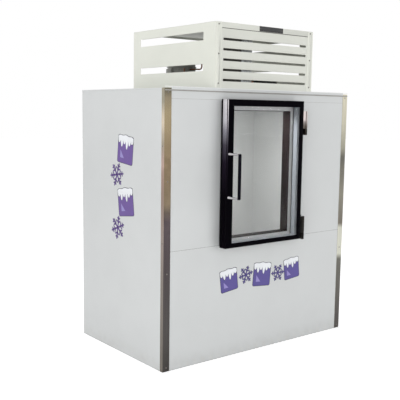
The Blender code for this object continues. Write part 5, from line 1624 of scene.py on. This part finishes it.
@dataclass
class FinnedCoil:
    """A coil of thin fins on rows of tubes that turn back at both ends.

    The margin is what the returns may stand out at each end of the fins.
    """

    fin: float = 0.0004
    pitch: float = 0.0042
    tube: float = 0.0045
    tube_rows: int = 2
    tube_pitch: float = 0.032
    tube_sides: int = 12
    margin: float = 0.016
    bend_steps: int = 10

    def build(self, node: str, fins: Finish) -> None:
        """Builds the coil inside its solid.

        Args:
            node: the solid that it stands for.
            fins: what the fins are covered with.
        """
        low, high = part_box(node)
        left, right = low.x + self.margin, high.x - self.margin
        stack = Workpiece()
        for index in range(int((right - left) / self.pitch) + 1):
            x = left + index * self.pitch
            stack.block((x, low.y, low.z), (x + self.fin, high.y, high.z))
        stack.piece(f"{node}_fins", fins, node=node)
        tubes = Workpiece()
        tall, deep = high.z - low.z, high.y - low.y
        levels = int(tall / self.tube_pitch)
        foot = low.z + (tall - (levels - 1) * self.tube_pitch) / 2
        for row in range(self.tube_rows):
            y = low.y + deep * (row + 0.5) / self.tube_rows
            for index in range(levels):
                z = foot + index * self.tube_pitch
                tubes.rod((left - HAIR, y, z), (right + HAIR, y, z), self.tube, self.tube_sides)
                if index < levels - 1:
                    end, side = (left, -1) if index % 2 else (right, 1)
                    tubes.absorb(self.turn_back(side).transformed(Matrix.Translation((end, y, z))))
        tubes.piece(f"{node}_tubes", COPPER)

    def turn_back(self, side: int) -> Workpiece:
        """One return bend from a tube at the zero point to the next one above it.

        Args:
            side: 1 where the bend stands out to the right, -1 to the left.

        Returns:
            The bend.
        """
        work = Workpiece()
        radius = self.tube_pitch / 2
        squash = min(1.0, (self.margin - self.tube) / radius)
        upright = Matrix.Rotation(QUARTER, 4, "Y")
        ring = bmesh.ops.create_circle(
            work.mesh, segments=self.tube_sides, radius=self.tube, matrix=upright
        )
        edges = list({edge for vert in ring["verts"] for edge in vert.link_edges})
        bmesh.ops.spin(
            work.mesh,
            geom=ring["verts"] + edges,
            cent=(0, 0, radius),
            axis=(0, -side, 0),
            angle=math.pi,
            steps=self.bend_steps,
        )
        work.transformed(Matrix.Diagonal((squash, 1, 1, 1)))
        bmesh.ops.holes_fill(work.mesh, edges=work.mesh.edges)
        return work


@dataclass
class Compressor:
    """The compressor: its welded can, its plate on rubber feet, and its terminal cover."""

    radius: float = 0.095
    sides: int = 64
    plate: float = 0.003
    plate_edge: float = 0.001
    bowl: Outline = ((0, 0), (0.75, 0), (0.93, 0.009), (1, 0.029))
    seam: Outline = ((0, -0.002), (0.006, 0), (0.006, 0.004), (-0.001, 0.007))
    seam_rise: float = 0.62
    dome_rise: float = 0.28
    dome_steps: int = 8
    terminal: tuple[float, float, float] = (0.030, 0.060, 0.070)
    terminal_rise: float = 0.050
    terminal_edge: float = 0.005
    terminal_steps: int = 3
    foot: float = 0.015
    foot_height: float = 0.012
    foot_shape: Outline = ((0, 0), (1, 0), (1, 0.004), (0.8, 0.006), (1, 0.008))
    foot_sides: int = 32
    foot_margin: float = 0.004
    bolt: float = 0.006
    bolt_height: float = 0.005
    stub: float = 0.004
    stub_runs: tuple[tuple[Point, Point], ...] = (
        ((-0.045, -0.080, 0.080), (-0.060, -0.110, 0.085)),
        ((-0.060, -0.110, 0.083), (-0.060, -0.110, 0.120)),
    )

    def build(self) -> None:
        """Builds the compressor inside its solid."""
        low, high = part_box("compressor")
        widest = self.radius + max(across for across, _ in self.seam)
        base = low.z + self.foot_height + self.plate
        middle = Vector((high.x - widest, (low.y + high.y) / 2, base))
        self.can(middle, high.z)
        self.feet(middle, low.z)
        stub = Workpiece()
        for start, end in self.stub_runs:
            stub.rod(middle + Vector(start), middle + Vector(end), self.stub, SMALL_SIDES)
        stub.piece("compressor_process_stub", COPPER)

    def can(self, middle: Vector, top: float) -> None:
        """Builds the can with the terminal cover on its left.

        Args:
            middle: the middle of the plate's upper face.
            top: the can's top.
        """
        x, y, base = middle
        height, radius = top - base, self.radius
        rise = height * self.dome_rise
        profile = scaled(self.bowl, radius, 1.0, (0.0, base - self.plate))
        profile += scaled(self.seam, 1.0, 1.0, (radius, base + height * self.seam_rise))
        profile += arc((0.0, top - rise), radius, rise, 0.0, QUARTER, self.dome_steps)
        can = Workpiece().turned(profile, (x, y, 0), Axis.Z, self.sides)
        depth, width, tall = self.terminal
        level = base + self.terminal_rise
        start = (x - radius - depth / 2, y - width / 2, level)
        end = (x, y + width / 2, level + tall)
        can.block(start, end, self.terminal_edge, self.terminal_steps)
        can.piece("compressor_can", MACHINE_GREY, node="compressor")

    def feet(self, middle: Vector, floor: float) -> None:
        """Builds the plate, its four rubber feet and their bolts.

        Args:
            middle: the middle of the plate's upper face.
            floor: what the feet stand on.
        """
        x, y, base = middle
        start, radius = base - self.plate, self.radius
        plate = Workpiece()
        plate.block((x - radius, y - radius, start), (x + radius, y + radius, base), self.plate_edge)
        foot = scaled(self.foot_shape, self.foot, 1.0, (0.0, floor))
        foot += [(self.foot, start - HAIR), (0, start - HAIR)]
        feet, bolts = Workpiece(), Workpiece()
        spread = radius - self.foot - self.foot_margin
        for across, deep in ((-1, -1), (-1, 1), (1, -1), (1, 1)):
            spot = (x + across * spread, y + deep * spread)
            feet.turned(foot, (*spot, 0), Axis.Z, self.foot_sides)
            bolts.rod((*spot, base), (*spot, base + self.bolt_height), self.bolt, HEX_SIDES)
        plate.piece("compressor_plate", MACHINE_BLACK)
        feet.piece("compressor_grommets", GASKET)
        bolts.piece("compressor_bolts", SCREW)


@dataclass
class Receiver:
    """The receiver with domed ends on two strapped saddles, and the line that feeds it."""

    radius: float = 0.042
    length: float = 0.210
    dome: float = 0.020
    dome_steps: int = 6
    strap: Outline = ((0.0015, -0.006), (0.0015, 0.006), (-0.001, 0.006), (-0.001, -0.006), (0.0015, -0.006))
    saddle: float = 0.020
    saddle_edge: float = 0.001
    saddle_spread: float = 0.6
    saddle_reach: float = 0.6
    line: float = 0.005
    line_rise: float = 0.036
    elbow: float = 1.25
    elbow_rows: int = 8
    aisle: float = 0.030
    tuck: float = 0.012

    def build(self) -> None:
        """Builds the vessel, its saddles and its line."""
        low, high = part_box("receiver_tank")
        radius, half = self.radius, self.length / 2
        middle = Vector((high.x - half, high.y - radius, high.z - radius))
        profile = arc((0.0, self.dome - half), radius, -self.dome, QUARTER, 0.0, self.dome_steps)
        profile += [(reach, -level) for reach, level in reversed(profile)]
        tank = Workpiece().turned(profile, middle, Axis.X)
        strap = scaled(self.strap, 1.0, 1.0, (radius, 0.0))
        wide, deep = self.saddle / 2, radius * self.saddle_reach
        for side in (-1, 1):
            x = middle.x + side * half * self.saddle_spread
            tank.turned(strap, (x, middle.y, middle.z), Axis.X)
            top = (x + wide, middle.y + deep, middle.z - radius / 2)
            tank.block((x - wide, middle.y - deep, low.z), top, self.saddle_edge)
        tank.piece("receiver_vessel", MACHINE_BLACK, node="receiver_tank")
        self.feed_line(low.x, middle)

    def feed_line(self, left: float, middle: Vector) -> None:
        """Builds the line from the condenser's foot to the receiver.

        Args:
            left: where the line starts.
            middle: the receiver's middle.
        """
        foot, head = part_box("condenser_coil")
        z, aisle, front = foot.z + self.line_rise, left + self.aisle, (foot.y + head.y) / 2
        end = middle.x - self.length / 2 + self.tuck
        corners = [(left, front, z), (aisle, front, z), (aisle, middle.y, z), (end, middle.y, z)]
        line = Workpiece()
        for start, stop in zip(corners, corners[1:]):
            line.rod(start, stop, self.line, SMALL_SIDES)
        for corner in corners[1:-1]:
            bmesh.ops.create_uvsphere(
                line.mesh,
                u_segments=SMALL_SIDES,
                v_segments=self.elbow_rows,
                radius=self.line * self.elbow,
                matrix=Matrix.Translation(corner),
            )
        line.piece("condenser_outlet_line", COPPER)


@dataclass
class CondensingUnit:
    """The tray, condenser, fan, compressor, receiver and lines under the housing."""

    coil: FinnedCoil = field(default_factory=FinnedCoil)
    wheel: FanWheel = field(default_factory=FanWheel)
    motor: FanMotor = field(
        default_factory=lambda: FanMotor(Body.CONDENSER_FAN, 0.042, 0.080, (0.025, 0.015))
    )
    compressor: Compressor = field(default_factory=Compressor)
    receiver: Receiver = field(default_factory=Receiver)
    plate_width: float = 0.085
    plate_sheet: float = 0.0012

    def build(self) -> None:
        """Builds the unit's pieces."""
        dress(ZINC, "condensing_unit_base")
        soften("condenser_shroud", ZINC)
        self.coil.build("condenser_coil", FINS_PAINTED_LIGHTER)
        self.end_plate()
        self.wheel.build("condenser_fan", Body.CONDENSER_FAN)
        self.motor.build("condenser_fan_motor")
        self.compressor.build()
        self.receiver.build()
        soften("discharge_line", COPPER)
        soften("liquid_line", COPPER)
        soften("suction_line", SLEEVE)

    def end_plate(self) -> None:
        """Covers the condenser's right end with a plain galvanised plate."""
        low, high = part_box("condenser_coil")
        start = (high.x - self.plate_width, low.y - self.plate_sheet, low.z)
        plate = Workpiece().block(start, (high.x, low.y - HAIR, high.z), HAIR, 1)
        plate.piece("condenser_end_plate", ZINC)


@dataclass
class ColdUnit:
    """The evaporator under the ceiling: its case, coil, fan, guard, motor and pan."""

    coil: FinnedCoil = field(
        default_factory=lambda: FinnedCoil(pitch=0.0060, tube_rows=3, tube_pitch=0.030)
    )
    wheel: FanWheel = field(default_factory=lambda: FanWheel(root_chord=0.026, tip_chord=0.050))
    motor: FanMotor = field(
        default_factory=lambda: FanMotor(Body.EVAPORATOR_FAN, 0.028, 0.050, (0.006, 0.012), True)
    )
    wire: float = 0.0015
    ring_share: float = 0.95
    rings: int = 6
    spoke_share: float = 0.9
    spokes: int = 8
    boss: float = 0.009
    boss_sides: int = 24

    def build(self) -> None:
        """Builds the unit's pieces."""
        soften("evaporator_case", COLD_CASE)
        self.coil.build("evaporator_coil", FINS)
        self.wheel.build("evaporator_fan", Body.EVAPORATOR_FAN)
        self.motor.build("evaporator_fan_motor")
        soften("evaporator_drain_pan", ZINC)
        self.guard()

    def guard(self) -> None:
        """Builds the guard: rings of round wire on spokes."""
        low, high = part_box("evaporator_fan_guard")
        x, _, z = (low + high) / 2
        reach = (high.x - low.x) / 2 - self.wire
        spoke = self.wire * self.spoke_share
        front, back = low.y + self.wire, high.y - spoke
        work = Workpiece()
        for index in range(self.rings):
            radius = reach * (index + 1) / self.rings
            work.hoop((x, front, z), Axis.Y, radius, self.wire * self.ring_share)
        for end_x, end_z in arc((x, z), reach, reach, 0.0, math.tau, self.spokes)[:-1]:
            work.rod((x, back, z), (end_x, back, end_z), spoke, WIRE_SIDES)
        work.rod((x, low.y, z), (x, high.y, z), self.boss, self.boss_sides)
        work.piece("fan_guard_wires", GUARD, node="evaporator_fan_guard")


@dataclass
class Controls:
    """The control box at the back of the housing, its knob, switch and cord gland."""

    switch_edge: float = 0.0006
    skirt_shape: Outline = ((0, 0), (1, 0), (1, 0.002), (0.86, 0.003), (0, 0.003))
    grip_share: float = 0.80
    grip_foot: float = 0.0025
    grip_drop: float = 0.0035
    flutes: int = 18
    flute_depth: float = 0.0008
    flute_steps: int = 6
    pointer: float = 0.001
    pointer_start: float = 0.002
    pointer_share: float = 0.74
    pointer_edge: float = 0.0003
    ticks: int = 10
    tick_sweep: float = math.radians(270)
    tick_start: float = math.radians(45)
    tick: float = 0.0005
    tick_gap: float = 0.002
    tick_lengths: Span = (0.003, 0.005)
    gland_level: float = 0.22
    gland_radius: float = 0.018
    gland_dome: Outline = ((0.74, 0.62), (0.62, 0.92), (0.40, 1), (0.34, 1))
    nut: float = 0.007
    nut_share: float = 1.16
    nut_edge: float = 0.0008
    bezel: Span = (0.0030, 0.0045)
    bezel_gap: Span = (0.0006, 0.0020)
    bezel_height: float = 0.0018
    bezel_edge: float = 0.0004

    @property
    def face(self) -> float:
        """The depth of the box's back face."""
        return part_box("temperature_knob")[0].y

    def build(self) -> None:
        """Builds the box's pieces."""
        soften("control_box", CONTROL)
        soften("power_switch", KEY_BLACK, Body.SWITCH, self.switch_edge)
        self.knob()
        self.dial()
        self.gland()
        self.bezel_frame()

    def knob(self) -> None:
        """Builds the fluted knob with its pointer."""
        low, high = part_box("temperature_knob")
        x, _, z = axis_of(Body.KNOB)
        skirt = (high.x - low.x) / 2
        work = Workpiece().turned(scaled(self.skirt_shape, skirt, 1.0), (x, self.face, z), Axis.Y)
        outline = []
        count = self.flutes * self.flute_steps
        for step in range(count):
            turn = math.tau * step / count
            flute = self.flute_depth * (1 + math.cos(turn * self.flutes)) / 2
            radius = skirt * self.grip_share - flute
            outline.append((x + radius * math.cos(turn), z + radius * math.sin(turn)))
        top = high.y - self.grip_drop
        work.absorb(Workpiece().slab(outline, Axis.Y, self.face + self.grip_foot, top))
        work.piece("temperature_knob_fluted", KEY_BLACK, Body.KNOB, "temperature_knob")
        half = self.pointer
        start = (x - half, top - half, z + self.pointer_start)
        end = (x + half, top + half, z + skirt * self.pointer_share)
        Workpiece().block(start, end, self.pointer_edge).piece("knob_pointer", MARKING, Body.KNOB)

    def dial(self) -> None:
        """Prints the ring of ticks round the knob."""
        low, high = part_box("temperature_knob")
        x, _, z = axis_of(Body.KNOB)
        inner = (high.x - low.x) / 2 + self.tick_gap
        short, long = self.tick_lengths
        marks = Workpiece()
        for index in range(self.ticks):
            share = index / (self.ticks - 1)
            outer = inner + short + (long - short) * share
            mark = Workpiece().block((inner, 0, -self.tick), (outer, HAIR, self.tick))
            turn = Matrix.Rotation(self.tick_start - self.tick_sweep * share, 4, "Y")
            marks.absorb(mark.transformed(Matrix.Translation((x, self.face - HAIR, z)) @ turn))
        marks.piece("dial_ticks", MARKING)

    def gland(self) -> None:
        """Builds the six-sided nut and the domed cap of the cord gland, with its open throat."""
        low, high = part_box("control_box")
        x, z = (low.x + high.x) / 2, low.z + (high.z - low.z) * self.gland_level
        seat = self.face - HAIR
        radius = self.gland_radius * self.nut_share
        nut = arc((x, z), radius, radius, 0.0, math.tau, HEX_SIDES)[:-1]
        work = Workpiece().slab(nut, Axis.Y, seat, seat + self.nut).rounded(self.nut_edge)
        dome = scaled(self.gland_dome, self.gland_radius, high.y - seat)
        outer, throat = (dome[0][0], self.nut), (dome[-1][0], self.nut)
        work.turned([outer, *dome, throat, outer], (x, seat, z), Axis.Y)
        work.piece("cord_gland_nut", KEY_BLACK)

    def bezel_frame(self) -> None:
        """Builds the bezel round the rocker."""
        low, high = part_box("power_switch")
        (wide, tall), (side, above) = self.bezel, self.bezel_gap
        left, foot, right, head = low.x - wide, low.z - tall, high.x + wide, high.z + tall
        inner_left, inner_foot = low.x - side, low.z - above
        inner_right, inner_head = high.x + side, high.z + above
        bars = (
            (left, foot, right, inner_foot),
            (left, inner_head, right, head),
            (left, inner_foot, inner_left, inner_head),
            (inner_right, inner_foot, right, inner_head),
        )
        work = Workpiece()
        for x0, z0, x1, z1 in bars:
            start = (x0, self.face - HAIR, z0)
            work.block(start, (x1, self.face + self.bezel_height, z1), self.bezel_edge, 1)
        work.piece("switch_bezel", KEY_BLACK)


class Motif(Enum):
    """The two motifs of the cold-storage pattern."""

    CUBE = "frosted cube"
    FLAKE = "snow crystal"


@dataclass(frozen=True)
class Print:
    """One printed motif: its kind, its place on the panel, its size and its tilt in degrees."""

    motif: Motif
    right: float
    up: float
    size: float
    tilt: float


@dataclass(frozen=True)
class Panel:
    """A flat place for the pattern: its middle, its right-hand and outward directions."""

    middle: Point
    across: Point
    outward: Point

    def place(self, item: Print) -> Matrix:
        """Where a flat drawing goes on the panel.

        Args:
            item: the motif that is printed.

        Returns:
            The matrix that takes X, Y and Z of the drawing to the panel.
        """
        across, outward = Vector(self.across), Vector(self.outward)
        turn = Matrix((across, Axis.Z.line, outward)).transposed().to_4x4()
        spot = Vector(self.middle) + across * item.right + Axis.Z.line * item.up
        return Matrix.Translation(spot) @ turn @ Matrix.Rotation(math.radians(item.tilt), 4, "Z")


FRONT_ROW = (
    Print(Motif.CUBE, -0.268, -0.004, 0.138, 7),
    Print(Motif.FLAKE, -0.130, 0.012, 0.116, 12),
    Print(Motif.CUBE, 0.006, -0.002, 0.150, -5),
    Print(Motif.FLAKE, 0.146, -0.010, 0.116, 0),
    Print(Motif.CUBE, 0.270, 0.004, 0.138, 6),
)
SIDE_COLUMN = (
    Print(Motif.CUBE, 0.040, 0.240, 0.170, -6),
    Print(Motif.FLAKE, -0.055, 0.085, 0.150, 8),
    Print(Motif.CUBE, 0.045, -0.075, 0.170, 7),
    Print(Motif.FLAKE, -0.045, -0.240, 0.150, 20),
)


@dataclass
class Decals:
    """A generic cold-storage pattern: frosted cubes and snow crystals in printed film."""

    front_level: float = 0.480
    side_middle: Span = (-0.020, 1.020)
    film: float = 0.00012
    film_step: float = 1.5
    rim: float = 0.0030
    frost_line: float = 0.7
    flake_line: float = 0.6
    corner: float = 0.16
    corner_steps: int = 6
    shine: Outline = ((-1, -1), (-0.2, -1), (-0.45, -0.72), (-1, -0.1))
    shine_share: float = 0.62
    frost_width: float = 0.98
    frost_foot: float = 0.62
    frost_top: float = 0.90
    frost_steps: int = 18
    swell: float = 0.13
    ripple: float = 0.03
    ripples: int = 5
    drips: tuple[float, ...] = (0.10, 0.24, 0.13, 0.30, 0.16, 0.08)
    drip_round: float = 0.7
    drip_steps: int = 8
    arm: float = 0.11
    twig: float = 0.085
    twigs: Outline = ((0.42, 0.34), (0.70, 0.24))
    twig_turn: float = math.radians(60)

    def printed(self, outline: Outline, level: int) -> Workpiece:
        """One flat outline as film, in a layer that counts from 0 at the panel."""
        low = HAIR + level * self.film * self.film_step
        return Workpiece().slab(outline, Axis.Z, low, low + self.film)

    def rounded_square(self, half: float, corner: float) -> list[Span]:
        """A square outline with round corners.

        Args:
            half: half its width.
            corner: the corners' radius.

        Returns:
            The outline.
        """
        reach = half - corner
        points = []
        for quarter, (right, up) in enumerate(((1, 1), (-1, 1), (-1, -1), (1, -1))):
            start = QUARTER * quarter
            centre = (right * reach, up * reach)
            points += arc(centre, corner, corner, start, start + QUARTER, self.corner_steps)
        return points

    def frost(self, half: float, grow: float) -> list[Span]:
        """The outline of the frost that lies on a cube and drips down its front.

        Args:
            half: half the cube's width.
            grow: how far the outline is drawn outwards.

        Returns:
            The outline.
        """
        left, right = -half - grow, half + grow
        base = half * self.frost_foot
        points = [(right, base)]
        for step in range(self.frost_steps + 1):
            share = step / self.frost_steps
            swell = math.sqrt(math.sin(math.pi * share)) * self.swell
            bulge = swell + self.ripple * math.sin(math.pi * share * self.ripples)
            points.append((right + (left - right) * share, half * (self.frost_top + bulge) + grow))
        width = (right - left) / len(self.drips)
        for index, drop in enumerate(self.drips):
            start = left + index * width
            for step in range(1, self.drip_steps + 1):
                share = step / self.drip_steps
                fall = math.sin(math.pi * share) ** self.drip_round * drop * 2 * half
                points.append((start + width * share, base - fall - grow))
        return points

    def cube(self, layers: dict[str, Workpiece], place: Matrix, half: float) -> None:
        """Adds one frosted cube.

        Args:
            layers: the workpiece of each ink.
            place: where it is printed.
            half: half its size.
        """
        corner, wide, inner = half * self.corner, half * self.frost_width, half * self.shine_share
        shapes = (
            ("ink", self.rounded_square(half, corner), 0),
            ("violet", self.rounded_square(half - self.rim, corner - self.rim / 2), 1),
            ("ink", self.frost(wide, self.rim * self.frost_line), 2),
            ("frost", self.frost(wide, self.rim * (self.frost_line - 1)), 3),
            ("pale", scaled(self.shine, inner, inner), 2),
        )
        for ink, outline, level in shapes:
            layers[ink].absorb(self.printed(outline, level).transformed(place))

    def flake(self, layers: dict[str, Workpiece], place: Matrix, half: float) -> None:
        """Adds one six-armed snow crystal.

        Args:
            layers: the workpiece of each ink.
            place: where it is printed.
            half: half its size.
        """
        for ink, grow, level in (("ink", self.rim * self.flake_line, 0), ("violet", 0.0, 1)):
            drawn = Workpiece()
            for index in range(HEX_SIDES):
                turn = Matrix.Rotation(math.tau * index / HEX_SIDES, 4, "Z")
                drawn.absorb(self.crystal_arm(half, grow, level).transformed(turn))
            layers[ink].absorb(drawn.transformed(place))

    def spear(self, reach: float, half: float, level: int) -> Workpiece:
        """A pointed bar of film along +X, with half its width and its layer."""
        neck = reach - half
        return self.printed([(0, -half), (neck, -half), (reach, 0), (neck, half), (0, half)], level)

    def crystal_arm(self, half: float, grow: float, level: int) -> Workpiece:
        """One arm of a snow crystal along +X, with two pairs of twigs.

        Args:
            half: the arm's length.
            grow: how far its outline is drawn outwards.
            level: the layer that it lies in.

        Returns:
            The arm.
        """
        arm = self.spear(half + grow, half * self.arm / 2 + grow, level)
        for reach, length in self.twigs:
            for side in (-1, 1):
                branch = self.spear(half * length + grow, half * self.twig / 2 + grow, level)
                turn = Matrix.Rotation(side * self.twig_turn, 4, "Z")
                arm.absorb(branch.transformed(Matrix.Translation((half * reach, 0, 0)) @ turn))
        return arm

    def pattern(self, name: str, panel: Panel, prints: Sequence[Print], violet: Finish) -> None:
        """Prints a group of motifs on a panel.

        Args:
            name: the start of the pieces' names.
            panel: where they are printed.
            prints: the motifs.
            violet: the film of their bodies.
        """
        films = {"ink": INK, "violet": violet, "frost": FROST, "pale": VIOLET_PALE}
        layers = {ink: Workpiece() for ink in films}
        for item in prints:
            draw = self.cube if item.motif is Motif.CUBE else self.flake
            draw(layers, panel.place(item), item.size / 2)
        for ink, work in layers.items():
            work.piece(f"{name}_{ink}", films[ink])

    def build(self) -> None:
        """Prints the row on the lower front panel and the column on the left side."""
        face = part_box("front_lower_panel")[0].y
        front = Panel((0.0, face, self.front_level), (1, 0, 0), (0, -1, 0))
        self.pattern("front_pattern", front, FRONT_ROW, VIOLET_FRONT)
        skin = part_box("left_side_skin")[0].x
        side = Panel((skin, *self.side_middle), (0, -1, 0), (-1, 0, 0))
        self.pattern("side_pattern", side, SIDE_COLUMN, VIOLET_SIDE)


@dataclass
class Studio:
    """The pale floor, the soft light and the camera at the photograph's angle."""

    eye: Point = (-3.0505, -3.6821, 1.4907)
    yaw: float = 0.6693
    pitch: float = -0.1228
    roll: float = 0.0141
    lens: float = 64.28
    sensor: float = 36.0
    sight: float = 100.0
    floor_size: float = 60.0
    floor_tones: tuple[Colour, Colour] = ((0.86, 0.86, 0.86), (0.84, 0.84, 0.84))
    floor_patches: Noise = Noise(2.0, 4.0)
    floor_roughness: float = 0.9
    floor_glow: float = 0.50
    world_light: float = 0.62
    lamps: tuple[tuple[str, Point, Point, Span, float], ...] = (
        ("key_light", (-5.4, -3.0, 1.4), (0.0, 0.0, 1.05), (4.0, 3.0), 119.0),
        ("fill_light", (3.0, -5.4, 1.4), (0.0, 0.0, 0.9), (4.0, 3.0), 78.0),
        ("top_light", (0.0, 0.5, 5.0), (0.0, 0.0, 1.0), (3.4, 3.4), 66.0),
        ("rear_light", (-0.8, 5.4, 2.6), (0.0, 0.0, 1.5), (4.0, 3.0), 80.0),
    )

    def build(self) -> None:
        """Sets up the floor, the lights, the camera and the colour view."""
        self.floor()
        self.world()
        for lamp in self.lamps:
            hang_lamp(*lamp)
        self.camera()
        bpy.context.scene.view_settings.view_transform = "Standard"

    def floor_material(self) -> bpy.types.Material:
        """The floor's material, which glows a little where the camera sees it.

        Returns:
            The material.
        """
        shading = Shading("pale_floor")
        first, second = self.floor_tones
        colour = shading.mixed(shading.patches(self.floor_patches), first, second)
        shading.set(Base_Color=colour, Roughness=self.floor_roughness)
        plain = shading.shader.outputs[0]
        glow = shading.wire(shading.add("Emission"), Strength=self.floor_glow).outputs[0]
        bright = shading.joined("AddShader", plain, glow)
        seen = shading.add("LightPath").outputs["Is Camera Ray"]
        output = next(node for node in shading.tree.nodes if node.type == "OUTPUT_MATERIAL")
        shading.wire(output, Surface=shading.joined("MixShader", seen, plain, bright))
        return shading.material

    def floor(self) -> None:
        """Lays the floor, which is pale and holds the object's shadow."""
        work = Workpiece()
        bmesh.ops.create_grid(work.mesh, x_segments=1, y_segments=1, size=self.floor_size / 2)
        data = bpy.data.meshes.new("studio_floor")
        work.mesh.to_mesh(data)
        work.mesh.free()
        data.materials.append(self.floor_material())
        floor = stand("studio_floor", data)

    def world(self) -> None:
        """Makes an even world that looks white, also in metal and glass."""
        world = bpy.data.worlds.new("studio_world")
        bpy.context.scene.world = world
        world.use_nodes = True
        nodes = Nodes(world.node_tree)
        nodes.tree.nodes.clear()
        rays = nodes.add("LightPath").outputs
        seen = nodes.joined("Math", rays["Is Camera Ray"], rays["Is Glossy Ray"], operation="MAXIMUM")
        seen = nodes.joined("Math", seen, rays["Is Transmission Ray"], operation="MAXIMUM")
        light = nodes.joined("Background", WHITE, self.world_light)
        backdrop = nodes.joined("Background", WHITE, 1.0)
        pick = nodes.joined("MixShader", seen, light, backdrop)
        nodes.wire(nodes.add("OutputWorld"), Surface=pick)

    def camera(self) -> None:
        """Sets up the camera at the photograph's place, turned and rolled as it was."""
        level = Vector((math.cos(self.yaw), -math.sin(self.yaw), 0.0))
        ahead = Axis.Z.line.cross(level) * math.cos(self.pitch) + Axis.Z.line * math.sin(self.pitch)
        upright = Matrix((level, level.cross(ahead), -ahead)).transposed().to_4x4()
        turn = upright @ Matrix.Rotation(self.roll, 4, "Z")
        data = bpy.data.cameras.new("photograph_view")
        data.lens = self.lens
        data.sensor_width = self.sensor
        data.clip_end = self.sight
        camera = stand("photograph_view", data)
        camera.matrix_world = Matrix.Translation(Vector(self.eye)) @ turn
        bpy.context.scene.camera = camera


def main() -> None:
    """Builds every sub-assembly in order and reports each one."""
    logging.basicConfig(level=logging.INFO, format="%(message)s")
    parts = (Studio, Case, CornerTrims, Compartment, Door, Hinges, Housing)
    parts += (CondensingUnit, ColdUnit, Controls, Decals)
    for part in parts:
        part().build()
        LOG.info("built %s", part.__name__)


if __name__ == "__main__":
    main()
